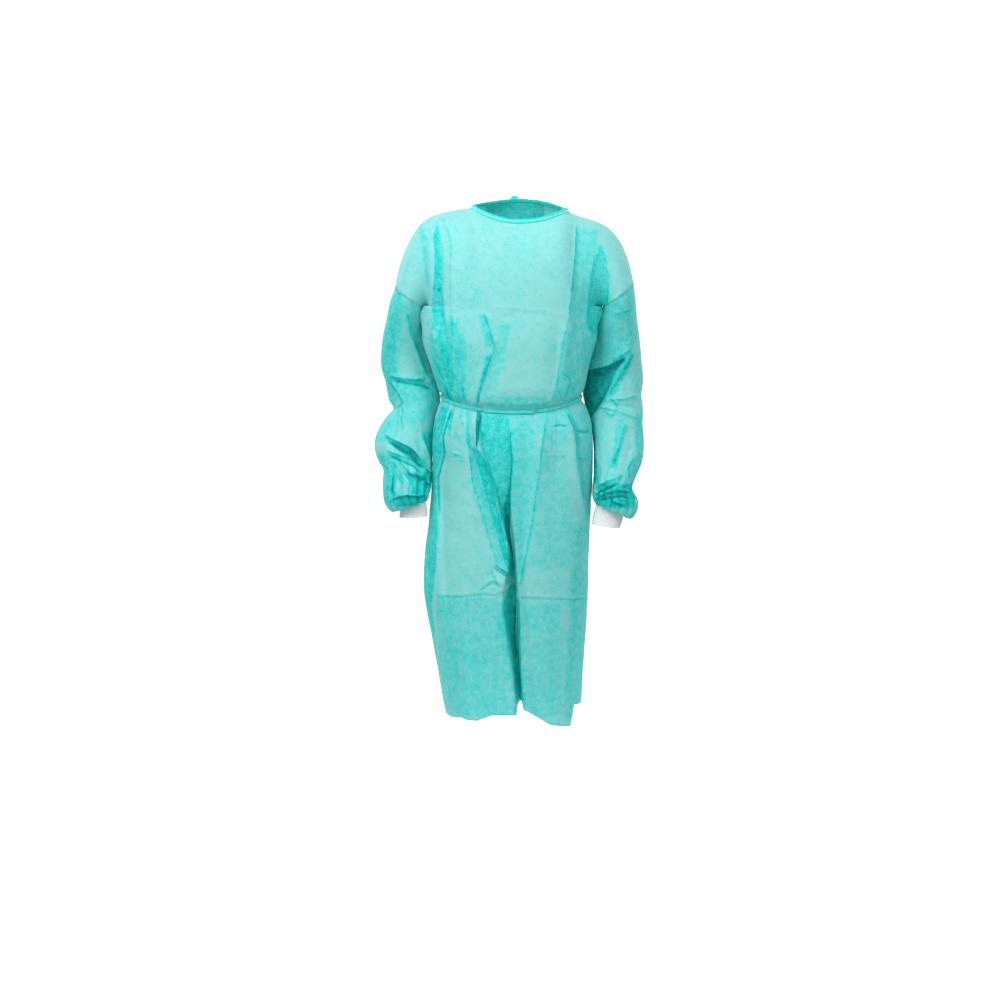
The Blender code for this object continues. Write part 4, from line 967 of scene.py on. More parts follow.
LEFT_SLEEVE_BACK_CREASES = (
    (3.0, 6, 0.3, ((-262, 300), (-236, 330), (-200, 344), (-170, 362))),
    (-3.0, 6, 0.6, ((-258, 316), (-230, 342), (-194, 358))),
    (2.6, 5, 0.4, ((-246, 416), (-222, 400), (-190, 402), (-166, 392))),
    (-2.2, 6, 0.3, ((-240, 428), (-214, 414), (-186, 414))),
    (3.4, 5, 0.3, ((-268, 470), (-236, 486), (-206, 516), (-180, 540))),
    (-3.2, 5, 0.8, ((-262, 484), (-230, 500), (-200, 530))),
    (2.4, 4, 0.5, ((-250, 530), (-220, 548), (-190, 566))),
    (-2.0, 9, 0.0, ((-226, 210), (-222, 260), (-210, 300))),
)
RIGHT_SLEEVE_CREASES = (
    (4, 4.8, 0.65, ((240, 282), (214, 302), (190, 324), (172, 330), (154, 330))),
    (-3.2, 6, 0.4, ((228, 304), (206, 324), (180, 340), (154, 342))),
    (4.4, 4, 0.65, ((243, 292), (232, 310), (212, 346), (190, 384), (160, 432))),
    (-3.6, 6, 0.48, ((224, 312), (204, 346), (182, 384), (158, 420))),
    (2.6, 3.2, 0.75, ((168, 412), (182, 408), (206, 414), (232, 424), (254, 430))),
    (2.2, 3.2, 0.85, ((186, 392), (220, 391), (254, 382))),
    (-2.2, 5, 0.32, ((190, 400), (222, 402), (252, 408))),
    (2.2, 3, 0.85, ((190, 384), (208, 402), (204, 420))),
    (2, 3, 0.85, ((178, 410), (196, 424), (212, 418))),
    (-2, 8, 0, ((226, 330), (230, 360), (228, 386))),
    (4, 3.2, 0.65, ((160, 572), (167, 563), (186, 554), (204, 546), (222, 536))),
    (-3.2, 4, 0.96, ((158, 584), (170, 572), (188, 563), (212, 552))),
    (3.1, 3, 0.85, ((160, 590), (180, 577), (206, 570), (236, 574))),
    (-2.4, 3.5, 0.88, ((166, 592), (184, 584), (210, 579), (232, 584))),
    (2.9, 3, 0.95, ((186, 576), (196, 590), (222, 600))),
    (-2, 8, 0, ((214, 220), (222, 260), (216, 292))),
    (1.3, 4, 0.65, ((198, 219), (222, 212), (240, 206))),
    (-2.4, 8, 0, ((230, 440), (236, 480), (222, 520))),
    (2.6, 4, 0.65, ((226, 432), (214, 480), (196, 526))),
    (2.2, 4, 0.75, ((246, 496), (228, 526), (232, 552))),
    (1.8, 3.2, 0.85, ((166, 430), (164, 480), (166, 530))),
)
RIGHT_SLEEVE_BACK_CREASES = (
    (3.0, 6, 0.3, ((252, 320), (226, 344), (190, 352), (160, 366))),
    (-3.0, 6, 0.5, ((250, 336), (222, 358), (186, 368))),
    (2.4, 5, 0.4, ((254, 400), (224, 410), (190, 400), (160, 404))),
    (-2.2, 6, 0.3, ((250, 414), (220, 424), (188, 414))),
    (3.2, 5, 0.3, ((250, 470), (222, 500), (196, 530), (172, 552))),
    (-3.0, 5, 0.8, ((244, 490), (216, 516), (188, 546))),
    (2.4, 4, 0.5, ((238, 548), (210, 566), (178, 580))),
    (-2.0, 9, 0.0, ((216, 210), (214, 260), (204, 300))),
)
# Faces of the sleeves, in the front's form: double cloth on some, painted shade on others.
LEFT_SLEEVE_FACES = (
    # painted shade on the sleeve's side turned to the body
    (0.20, 8, 6, ((150, -224, -150), (206, -220, -160), (256, -211, -160), (336, -184, -150),
                  (362, -162, -150))),
    (0.42, 10, 6, ((346, -252, -205), (365, -244, -150), (390, -236, -150), (440, -222, -190))),
    (0.42, 8, 16, ((396, -300, -232), (432, -300, -234), (474, -300, -240))),
    (0.70, 3, 4, ((455, -191, -150), (490, -180, -150), (535, -168, -150))),
    (0.55, 5, 5, ((500, -300, -232), (515, -300, -226), (530, -300, -240), (600, -300, -236))),
    (0.80, 5, 5, ((534, -226, -176), (552, -212, -168), (566, -206, -160), (580, -210, -160))),
    (0.85, 5, 5, ((578, -236, -150), (600, -240, -150))),
    # painted shade on the upper outer side of the sleeve, which the key lamp lights
    (0.60, 4, 34, ((170, -300, -220), (260, -300, -232), (346, -300, -240), (420, -300, -248))),
    (0.90, 3, 3, ((474, -258, -236), (490, -236, -206), (506, -216, -196), (524, -194, -182))),
)
RIGHT_SLEEVE_FACES = (
    (0.30, 10, 14, ((130, 150, 262), (250, 150, 262), (286, 150, 236), (306, 150, 212), (326, 150, 186))),
    # painted shade under the arm, beside the body
    (1.20, 6, 5, ((250, 130, 160), (300, 130, 156), (322, 130, 156))),
    # deep painted shade in the fold across the sleeve
    (1.45, 4, 4, ((304, 222, 226), (312, 208, 224), (322, 190, 216), (331, 160, 208), (340, 130, 203),
                  (350, 130, 199),
                  (384, 130, 184), (410, 130, 168), (440, 130, 150))),
    (0.60, 3, 6, ((296, 232, 244), (330, 218, 232), (384, 190, 204))),
    (1.00, 3, 6, ((432, 130, 160), (480, 130, 164), (560, 130, 168))),
    (0.90, 4, 5, ((556, 176, 238), (580, 160, 244), (604, 150, 240))),
    (0.50, 6, 4, ((420, 246, 300), (500, 244, 300), (548, 232, 300))),
    (0.50, 6, 4, ((430, 206, 222), (480, 202, 216), (526, 190, 206))),
)


def sleeve_ring(row, sign, count):
    """Points of one sleeve or cuff ring: an ellipse from the outer side over front, inner side and back."""
    drop_out, out, drop_in, inner, front, back = row
    outer_point = np.array([sign * out, 0, -drop_out])
    inner_point = np.array([sign * inner, 0, -drop_in])
    turn = np.arange(count)[:, None] * 2 * np.pi / count
    middle = (outer_point + inner_point) / 2 + np.array([0, (back - front) / 2, 0])
    forward = np.array([0, -(front + back) / 2, 0])
    return middle + (outer_point - inner_point) / 2 * np.cos(turn) + forward * np.sin(turn)


def armhole(front_edge, back_edge):
    """The closed loop of an armhole from the front's and back's edges, with a point added halfway."""
    ends = (front_edge + back_edge) / 2
    loop = np.concatenate([ends[:1], front_edge[1:-1], ends[-1:], back_edge[-2:0:-1]])
    halfway = (loop + np.roll(loop, -1, axis=0)) / 2
    return np.stack([loop, halfway], 1).reshape(-1, 3)


def add_sleeve(which, loop, rings, cuff, creases, faces, seed):
    """A sleeve: curves through the armhole's loop, its rings and the cuff's top, then gathers and folds."""
    sign = -1 if which == "left" else 1
    count = len(loop)
    spokes = loop - loop.mean(axis=0)
    down = unit(np.cross(spokes, np.roll(spokes, -1, axis=0)).sum(axis=0))
    down = down * -np.sign(down[2])
    end = sleeve_ring(cuff[CUFF_SEAM_ROW], sign, count)
    end = end + CUFF_SEAM_LIFT * unit(end - end.mean(axis=0))
    tucked = loop - SLEEVE_TUCK * down - SLEEVE_TUCK / 2 * unit(spokes)
    coarse = np.array([tucked] + [sleeve_ring(row, sign, count) for row in rings] + [end])
    knots = np.arange(len(coarse))
    at = np.linspace(0, knots[-1], knots[-1] * RING_ROWS + 1)
    grid = smooth(at, knots, coarse.reshape(len(coarse), -1)).reshape(len(at), count, 3)
    turn = np.arange(count) * 2 * np.pi / count
    pressed = np.interp(at, knots[:len(PRESSED)], PRESSED)[:, None]
    pressed = pressed * np.maximum(-np.cos(turn), 0) ** PRESSED_POWER
    grid[..., 0] -= sign * pressed
    cells = np.ones((len(grid) - 1, count), bool)
    normals = -sign * surface_normals(grid, cells, True)
    first = knots[-1] - len(GATHER_ROWS)
    depth = np.interp(at, np.arange(first - 1, knots[-1] + 1), (0, *GATHER_ROWS, 0))
    (broad, broad_waves), (narrow, narrow_waves) = GATHER_WAVES
    uneven = 1 + broad * np.sin(broad_waves * turn + 1) + narrow * np.sin(narrow_waves * turn + at[:, None])
    gathers = depth[:, None] * np.cos(GATHERS * turn) * uneven
    gathers += SMALL_GATHERS * depth[:, None] * np.sin(GATHERS * 2 * turn + 2 * np.sin(broad_waves * turn))
    x = grid[..., 0]
    drop = -grid[..., 2]
    # dense holds double cloth together with painted shade and painted highlights
    height, dense = 0, SLEEVE_DENSITY
    quickness, beyond = FACING
    in_front = BACK_SHARE + (1 - BACK_SHARE) * ease(np.sin(turn) * quickness + beyond)
    for side, lines in zip((1, -1), creases):
        facing = ease(side * np.sin(turn) * quickness + beyond)
        more_height, more_density_and_shade = creases_on(x, drop, lines)
        height = height + SLEEVE_FOLDS * facing * more_height
        dense = dense + SLEEVE_FOLDS * facing * more_density_and_shade
    hold = ease(at / HELD_RINGS[0]) * ease((knots[-1] - at) / HELD_RINGS[1])
    height = (height + ripples(grid, seed)) * hold[:, None] + gathers
    dense = dense + in_front * faces_on(x, drop, faces)
    dense = dense + ARMHOLE_DENSITY * ease(1 - at / ARMHOLE_RINGS)[:, None]
    # painted shade in the gathers' hollows, deepest where the gathers are deepest
    dense = dense + GATHER_HOLLOW_SHADE * (depth / max(GATHER_ROWS))[:, None] * (1 - np.cos(GATHERS * turn))
    grid = grid + normals * height[..., None]
    sleeve = add_cloth("sleeve_cloth_" + which, grid, cells, dense, cloth, closed=True, turned=sign > 0)
    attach(sleeve, "root")
    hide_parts("sleeve_" + which)


yoke_part = slice(0, YOKE_ROWS + 1)
left_loop = armhole(front_grid[yoke_part, 0], back_grid[yoke_part, -1])
right_loop = armhole(front_grid[yoke_part, -1], back_over[yoke_part, 0])
add_sleeve("left", left_loop, SLEEVE_LEFT, CUFF_LEFT,
           (LEFT_SLEEVE_CREASES, LEFT_SLEEVE_BACK_CREASES), LEFT_SLEEVE_FACES, 5)
add_sleeve("right", right_loop, SLEEVE_RIGHT, CUFF_RIGHT,
           (RIGHT_SLEEVE_CREASES, RIGHT_SLEEVE_BACK_CREASES), RIGHT_SLEEVE_FACES, 6)


# Cuffs: short tubes of white rib knit, sewn into the sleeve ends. The ribs run along the sleeve.
CUFF_RIBS = 52
RIB_COLUMNS = 6
RIB_HEIGHT = 0.35
CUFF_ROWS = 30
CUFF_THICKNESS = 1.2
CUFF_WAVES = ((0.5, 2, 1), (0.4, 5, -1.3))  # height, waves round it, how far each ring turns them
CUFF_FLAT_ENDS = (0.3, 0.12)  # rings without ribs at the sleeve and at the edge


def rib_knit(name, colour, shade):
    """White rib knit: rows of stitches across the ribs, as fine waves in bump, with grey between them."""
    material, tree, shader = new_material(name, {
        "Roughness": 0.85, "Specular IOR Level": 0.25, "Sheen Weight": 0.3, "Sheen Roughness": 0.6})
    cut = node(tree, "ShaderNodeUVMap", (-1200, 0), uv_map="cut")
    place = node(tree, "ShaderNodeTexCoord", (-1200, -300))
    on_object = [("Vector", place, "Object")]
    stitch_rows = node(tree, "ShaderNodeTexWave", (-950, 100), [("Vector", cut, "UV")],
                       {"Scale": 260, "Distortion": 1.2, "Detail": 1}, bands_direction="Y")
    fuzz = node(tree, "ShaderNodeTexNoise", (-950, -300), on_object, {"Scale": 500, "Detail": 4})
    blotch = node(tree, "ShaderNodeTexNoise", (-950, -550), on_object, {"Scale": 40})
    shade_share = node(tree, "ShaderNodeMath", (-700, 0), [(0, fuzz, "Fac"), (1, blotch, "Fac")],
                       operation="MULTIPLY")
    mixed = node(tree, "ShaderNodeMix", (-450, 100), [("Factor", shade_share, "Value")],
                 {"A": colour, "B": shade}, data_type="RGBA")
    height = node(tree, "ShaderNodeMath", (-700, -250), [(0, stitch_rows, "Fac"), (1, fuzz, "Fac")],
                  operation="ADD")
    bump = node(tree, "ShaderNodeBump", (-300, -250), [("Height", height, "Value")],
                {"Strength": 0.5, "Distance": 0.0004})
    feed(tree, shader, mixed, "Result", bump)
    return material


knit = rib_knit("white_rib_knit", (1.0, 1.0, 1.0, 1), (0.92, 0.92, 0.94, 1))


def add_cuff(which, rings):
    """A cuff: curves through its rings, raised into ribs by a wave round it, flatter at both ends."""
    sign = -1 if which == "left" else 1
    count = CUFF_RIBS * RIB_COLUMNS
    coarse = np.array([sleeve_ring(row, sign, count) for row in rings])
    at = np.linspace(0, len(rings) - 1, CUFF_ROWS + 1)
    grid = smooth(at, np.arange(len(rings)), coarse.reshape(len(rings), -1)).reshape(len(at), count, 3)
    cells = np.ones((CUFF_ROWS, count), bool)
    normals = -sign * surface_normals(grid, cells, True)
    turn = np.arange(count) * 2 * np.pi / count
    pull = sum(high * np.sin(waves * turn + shift * at[:, None]) for high, waves, shift in CUFF_WAVES)
    ribs = RIB_HEIGHT * (np.cos(CUFF_RIBS * turn) - 1) + 0 * at[:, None]
    fade = ease(at / CUFF_FLAT_ENDS[0]) * ease((len(rings) - 1 - at) / CUFF_FLAT_ENDS[1])
    grid = grid + normals * (ribs * fade[:, None] + pull * ease(at / 2)[:, None])[..., None]
    dense = np.zeros(grid.shape[:2])
    cuff = add_cloth("cuff_knit_" + which, grid, cells, dense, knit, True, sign > 0, CUFF_THICKNESS)
    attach(cuff, "root")
    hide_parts("cuff_" + which)


add_cuff("left", CUFF_LEFT)
add_cuff("right", CUFF_RIGHT)


# Neck binding: a strip of the same cloth, folded over the neck edge all the way round and sewn down
# with a chain stitch along its lower edge. Its end stands up a little on the right shoulder.
BINDING_WIDTH = 8
BINDING_THICKNESS = 2.0
BINDING_OUT = 0.5
BINDING_CROWN = 0.4
BINDING_GAP = 0.5
BINDING_LEAN = 0.55
BINDING_END = 104  # how far to the right its bunched end stands
BINDING_END_RISE = 3.5
BINDING_END_LENGTH = 7
BINDING_END_BACK = 8  # the bunched end reaches this far behind the shoulder seam
BINDING_END_SWELL = 0.9
BINDING_WAVES = ((0.35, 11), (0.25, 4.3))  # how its width changes: height and length
PUCKERS = ((0.16, 9, 0), (0.12, 5.3, 1))  # height, length and start
NECK_STEP = 1.5
NECK_PASSES = 3
PROFILE_POINTS = 40
STRIP_THICKNESS = 0.3
WELD_REACH = 0.00002
STITCH_PITCH = 2.9
STITCH_LENGTH = 2.3
STITCH_WIDTH = 1.3
STITCH_COLUMN = 25  # the column of the strip that the stitches lie on
STITCH_LIFT = 0.3
STITCH_SIDES = 6
STITCH_RINGS = ((-1, 0.15), (-0.55, 1), (0.55, 1), (1, 0.15))  # place along the stitch, and fatness
# The thread's colour carries painted shade for the hollows of its twist.
TWIST_SHADE_SHARE = 0.7  # how bright the hollows of the thread's twist are


def tape_cloth(name, colour, deep):
    """Folded nonwoven tape: dense turquoise with fine pulled lines along it and a few paler flecks."""
    material, tree, shader = new_material(
        name, {"Roughness": 0.6, "Specular IOR Level": 0.3, "Sheen Weight": 0.2})
    place = node(tree, "ShaderNodeTexCoord", (-1100, 0))
    cut = node(tree, "ShaderNodeUVMap", (-1100, -400), uv_map="cut")
    clouds = node(tree, "ShaderNodeTexNoise", (-850, 100), [("Vector", place, "Object")],
                  {"Scale": 190, "Detail": 5})
    share = node(tree, "ShaderNodeMapRange", (-650, 100), [("Value", clouds, "Fac")],
                 {"From Min": 0.35, "From Max": 0.7})
    mixed = node(tree, "ShaderNodeMix", (-450, 100), [("Factor", share, "Result")],
                 {"A": colour, "B": deep}, data_type="RGBA")
    pulls = node(tree, "ShaderNodeTexWave", (-850, -400), [("Vector", cut, "UV")],
                 {"Scale": 60, "Distortion": 5, "Detail": 3}, bands_direction="X")
    bump = node(tree, "ShaderNodeBump", (-300, -300), [("Height", pulls, "Fac")],
                {"Strength": 0.4, "Distance": 0.0006})
    feed(tree, shader, mixed, "Result", bump)
    return material


tape = tape_cloth("turquoise_tape", (0.035, 0.78, 0.74, 1), (0.012, 0.60, 0.56, 1))


def thread_finish(name, colour):
    """Pale spun thread, with painted shade for the hollows of its twist, placed by noise."""
    material, tree, shader = new_material(name, {"Roughness": 0.7})
    place = node(tree, "ShaderNodeTexCoord", (-900, 0))
    twist = node(tree, "ShaderNodeTexNoise", (-700, 0), [("Vector", place, "Object")], {"Scale": 900})
    hollow = tuple(TWIST_SHADE_SHARE * c for c in colour[:3]) + (1,)
    mixed = node(tree, "ShaderNodeMix", (-450, 0), [("Factor", twist, "Fac")],
                 {"A": colour, "B": hollow}, data_type="RGBA")
    feed(tree, shader, mixed, "Result")
    return material


thread = thread_finish("pale_thread", (0.93, 1.0, 0.99, 1))


def directions(points):
    """Directions along a closed line at its points."""
    return unit(np.roll(points, -1, axis=0) - np.roll(points, 1, axis=0))


def resampled(loop, pitch):
    """Points at even distances along a closed line, and the directions along it there."""
    full = np.concatenate([loop, loop[:1]])
    run = np.concatenate([[0], np.cumsum(np.linalg.norm(np.diff(full, axis=0), axis=-1))])
    count = int(run[-1] / pitch)
    at = np.arange(count) * run[-1] / count
    points = np.stack([np.interp(at, run, full[:, i]) for i in range(3)], -1)
    return points, directions(points)


def evened(points, passes):
    """A closed line whose points go, in each pass, halfway to the mean of their two neighbours."""
    for _ in range(passes):
        points = (np.roll(points, 1, axis=0) + 2 * points + np.roll(points, -1, axis=0)) / 4
    return points


def add_strip(name, sections, closed=True, thickness=STRIP_THICKNESS):
    """A folded strip: a grid with one row for each place along it and one column for each of its profile."""
    rows = np.concatenate([sections, sections[:1]]) if closed else sections
    cells = np.ones((len(rows) - 1, rows.shape[1] - 1), bool)
    strip = add_cloth(name, rows, cells, np.zeros(rows.shape[:2]), tape, thickness=thickness)
    if closed:
        weld = strip.modifiers.new("join", "WELD")
        weld.merge_threshold = WELD_REACH
        strip.modifiers.move(1, 0)
    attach(strip, "root")
    return strip


def add_stitches(name, points, along, out):
    """Stitches: a small bead at each point, of rings round the seam's way that are thin at both its ends."""
    across = unit(np.cross(out, along))
    share, fat = np.array(STITCH_RINGS).T
    turn = np.arange(STITCH_SIDES) * np.pi / (STITCH_SIDES / 2)
    ring = np.stack([np.cos(turn), np.sin(turn)], -1)
    beads = (
        points[:, None, None] + along[:, None, None] * (share * STITCH_LENGTH / 2)[None, :, None, None]
        + across[:, None, None] * (fat[:, None] * ring[:, 0] * STITCH_WIDTH / 2)[None, :, :, None]
        + out[:, None, None] * (fat[:, None] * ring[:, 1] * STITCH_WIDTH / 2)[None, :, :, None]
    )
    number = np.arange(len(STITCH_RINGS) * STITCH_SIDES).reshape(-1, STITCH_SIDES)
    first = number.size * np.arange(len(points))[:, None, None]
    turned = np.roll(number, -1, axis=1)
    quads = np.stack([number[:-1], turned[:-1], turned[1:], number[1:]], -1).reshape(-1, 4)
    ends = np.concatenate([number[:1, ::-1], number[-1:]])
    faces = (quads + first).reshape(-1, 4).tolist() + (ends + first).reshape(-1, STITCH_SIDES).tolist()
    piece = add_mesh(name, beads.reshape(-1, 3), faces, thread)
    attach(piece, "root")


neck_front = slice(*(line_column(FRONT_LINES, n) + i for i, n in enumerate(NECK_FRONT_LINES)))
neck_back = slice(
    line_column(BACK_LINES, NECK_BACK_LINES[0]) + 1, line_column(BACK_LINES, NECK_BACK_LINES[1]))
neck_loop = np.concatenate([front_plain[0, neck_front], back_plain[0, neck_back]])
neck_points, neck_along = resampled(neck_loop, NECK_STEP)
neck_points = evened(neck_points, NECK_PASSES)
inward = np.array([NECK_MIDDLE, 0, 0]) - neck_points
inward[:, 2] = 0
neck_rise = unit(unit(inward) * BINDING_LEAN + np.array([0, 0, 1]))
neck_out = unit(np.cross(neck_along, neck_rise))
way = np.cumsum(np.full(len(neck_points), NECK_STEP))
at_end = np.exp(-((neck_points[:, 0] - BINDING_END) / BINDING_END_LENGTH) ** 2)
at_end = at_end * (neck_points[:, 1] < BINDING_END_BACK)
width_here = sum((high * np.sin(way / long) for high, long in BINDING_WAVES), BINDING_WIDTH)
width_here = width_here + BINDING_END_RISE * at_end
pucker = sum(high * np.sin(way * 2 * np.pi / long + start) for high, long, start in PUCKERS)
pucker = pucker + BINDING_END_SWELL * at_end
# The strip's profile, from its hidden inner edge over the top to its outer edge: height, then outwards
profile = np.array([
    (0.05, -BINDING_THICKNESS), (0.5, -BINDING_THICKNESS - 0.1), (0.92, -BINDING_THICKNESS),
    (1.0, -BINDING_THICKNESS / 2), (0.93, 0), (0.75, BINDING_CROWN * 0.8), (0.5, BINDING_CROWN),
    (0.3, BINDING_CROWN * 0.4), (0.2, 0.1), (0.1, BINDING_CROWN * 0.9), (0.0, 0.4), (-0.18, 0.5),
])
profile = smooth(np.linspace(0, 1, PROFILE_POINTS), np.linspace(0, 1, len(profile)), profile)
up = BINDING_GAP + profile[None, :, 0] * width_here[:, None]
outwards = BINDING_OUT + profile[None, :, 1] + pucker[:, None] * np.clip(profile[None, :, 0] * 2, 0, 1)
binding_grid = neck_points[:, None] + up[..., None] * neck_rise[:, None]
binding_grid = binding_grid + outwards[..., None] * neck_out[:, None]
binding = add_strip("neck_binding_tape", binding_grid)
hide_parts("neck_binding")
seam_points, seam_along = resampled(binding_grid[:, STITCH_COLUMN] + STITCH_LIFT * neck_out, STITCH_PITCH)
nearest = np.linalg.norm(seam_points[:, None] - neck_points[None], axis=-1).argmin(axis=1)
add_stitches("neck_chain_stitch", seam_points, seam_along, neck_out[nearest])


# Belt: a strip of the same cloth rolled flat to a quarter of its width, passed round the waist
# and tied behind. Its two rolled edges turn over each other at the front.
BELT_HEIGHT = 7
BELT_THICKNESS = 2.2
BELT_GAP = 0.6
BELT_SHARE = 0.15  # the belt lies this share of the way in from its two rows
BELT_ROWS = (395, 405)
BELT_STEP = 2.0
BELT_PASSES = 4
BELT_TURNS = 2  # how often the strip is rolled over itself
BELT_TWISTS = ((-62, 26, 1), (38, 30, -1))  # where it turns over: place, length, direction
BELT_SWAY = (0.10, 9)  # how far it leans to and fro, and over how many points
BELT_WAVES = ((0.07, 17), (0.05, 6.1))  # how its height changes: share and length
ROLLED_THICKNESS = 0.15
ROLLED_POINTS = 50
ROLLED_SHRINK = 0.16  # each turn of the roll is smaller by this share
ROLLED_PINCH = (0.42, 0.30)  # how much narrower the roll is in its middle, and how far from there

high_row, low_row = (int(np.argmin(np.abs(ROWS - drop))) + YOKE_ROWS for drop in BELT_ROWS)
over = np.where((column <= outer_end)[:, None], back_over, back_grid)
body_part = slice(CAP_COLUMNS, -CAP_COLUMNS)
back_part = slice(CAP_COLUMNS + 1, -CAP_COLUMNS - 1)
waist = [
    np.concatenate([front_plain[row, body_part], over[row, back_part]]) for row in (high_row, low_row)]
top = waist[0] + (waist[1] - waist[0]) * BELT_SHARE
bottom = waist[1] + (waist[0] - waist[1]) * BELT_SHARE
belt_points, belt_along = resampled((top + bottom) / 2, BELT_STEP)
belt_points = evened(belt_points, BELT_PASSES)
belt_out = unit(np.stack([-belt_along[:, 1], belt_along[:, 0], 0 * belt_along[:, 0]], -1))
belt_spokes = belt_points - belt_points.mean(axis=0)
belt_out = belt_out * np.sign((belt_out * belt_spokes).sum(axis=-1, keepdims=True))
belt_up = unit(np.cross(belt_along, belt_out))
belt_up = belt_up * np.sign(belt_up[:, 2:])
belt_points = belt_points + (BELT_GAP + BELT_THICKNESS / 2) * belt_out
belt_x = belt_points[:, 0]
roll = sum(s * np.pi * ease((belt_x - place) / length + 0.5) for place, length, s in BELT_TWISTS)
roll = np.where(belt_points[:, 1] < 0, roll, 0) + BELT_SWAY[0] * np.sin(np.arange(len(belt_x)) / BELT_SWAY[1])
belt_way = np.arange(len(belt_x)) * BELT_STEP
uneven = sum((share * np.sin(belt_way / long) for share, long in BELT_WAVES), 1)


def rolled(points, rise, out, height, thickness, roll):
    """A tape rolled flat over itself: a grid with a spiral section at each point.

    Each section is a flattened circle, as high and as thick as given, whose size shrinks with its turns. It
    is narrower in its middle, and roll turns it about the way along the tape.
    """
    turn = np.linspace(0, BELT_TURNS * 2 * np.pi, ROLLED_POINTS)
    shrink = 1 - ROLLED_SHRINK * turn / (2 * np.pi)
    pinch = 1 - ROLLED_PINCH[0] * np.exp(-((np.cos(turn)) / ROLLED_PINCH[1]) ** 2)
    up = np.cos(turn) * shrink * height[:, None] / 2
    away = np.sin(turn) * shrink * pinch * thickness / 2
    tall = up * np.cos(roll)[:, None] - away * np.sin(roll)[:, None]
    deep = up * np.sin(roll)[:, None] + away * np.cos(roll)[:, None]
    return points[:, None] + tall[..., None] * rise[:, None] + deep[..., None] * out[:, None]


belt_grid = rolled(belt_points, belt_up, belt_out, BELT_HEIGHT * uneven, BELT_THICKNESS, roll)
belt_tape = add_strip("belt_tape", belt_grid, thickness=ROLLED_THICKNESS)
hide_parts("belt")


# Ties: the ends of the binding and of the belt, knotted at the back. The tails hang on the cloth.
TAIL_WIDTH = 7
TAIL_THICKNESS = 1.6
# A knot's distance to the right, how far it is out from and above the tape, and half its three sizes
BELT_KNOT = (4, 0.3, 0, (13, 5, 7))
NECK_KNOT = (0, -1.8, 5.5, (9, 4, 5))
# Stations of each tail: drop on the cloth, distance to the right, how far off the cloth, how far raised
TAILS = {
    "belt_tail_right": (
        (411.6, 9, 5.6, 0), (416, 10, 2.6, 0), (440, 14, 0.5, 0), (480, 19, 0.5, 0), (530, 22, 0.5, 0)),
    "belt_tail_left": (
        (411.6, -1, 5.6, 0), (416, -2, 2.6, 0), (440, -6, 0.5, 0), (480, -12, 0.5, 0), (530, -19, 0.5, 0)),
    "neck_tail_right": ((1.25, 4, 1.2, 3.6), (25, 6, 0.5, 0), (50, 9, 0.5, 0), (75, 14, 0.5, 0)),
    "neck_tail_left": ((1.25, -4.5, 1.2, 3.6), (25, -8, 0.5, 0), (50, -13, 0.5, 0), (70, -16, 0.5, 0)),
}
TAIL_STEP = 1.5
TAIL_WAVES = (0.05, 5)  # how its width changes along it: share and quickness
TAIL_SWAY = (0.08, 3)
KNOT_POINTS = 40
KNOT_LOOP = (0.74, 0.80)  # depth and height of a loop as shares of the knot
KNOT_TAPE = (0.62, 0.34)  # width and thickness of the tape as shares of the knot
KNOT_LOOPS = ((-0.52, 0.22, 0.86), (0.5, -0.26, 0.84), (0, 0.05, 1.0))  # place, slant and size in the knot


def cloth_point(drop, x):
    """The point of the back at a row's drop and a distance to the right."""
    rows = over[:, back_part]
    at = drop / PIT_DROP * YOKE_ROWS
    if drop > PIT_DROP:
        at = YOKE_ROWS + np.interp(drop, ROWS, np.arange(len(ROWS)))
    low = int(at)
    found = []
    for line in rows[low:low + 2]:
        order = np.argsort(line[:, 0])
        found.append([x, *(np.interp(x, line[order, 0], line[order, i]) for i in (1, 2))])
    return found[0] + (np.array(found[-1]) - found[0]) * (at - low)


def add_tail(name, stations):
    """One end of a tie: the rolled tape along its stations on the cloth."""
    edges = np.array([
        [cloth_point(drop, x + edge) + np.array([0, off + TAIL_THICKNESS / 2, up])
         for edge in (-TAIL_WIDTH / 2, TAIL_WIDTH / 2)]
        for drop, x, off, up in stations
    ])
    count = int(np.linalg.norm(np.diff(edges.mean(axis=1), axis=0), axis=-1).sum() / TAIL_STEP)
    at = np.linspace(0, len(stations) - 1, count)
    edges = smooth(at, np.arange(len(stations)), edges.reshape(len(stations), 6)).reshape(-1, 2, 3)
    middle = edges.mean(axis=1)
    across = unit(edges[:, 1] - edges[:, 0])
    out = unit(np.cross(np.gradient(middle, axis=0), across))
    out = out * np.sign(out[:, 1:2])
    width = TAIL_WIDTH * (1 + TAIL_WAVES[0] * np.sin(at * TAIL_WAVES[1]))
    grid = rolled(middle, across, out, width, TAIL_THICKNESS, TAIL_SWAY[0] * np.sin(at * TAIL_SWAY[1]))
    tail = add_strip(name + "_tape", grid, closed=False, thickness=ROLLED_THICKNESS)
    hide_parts(name)


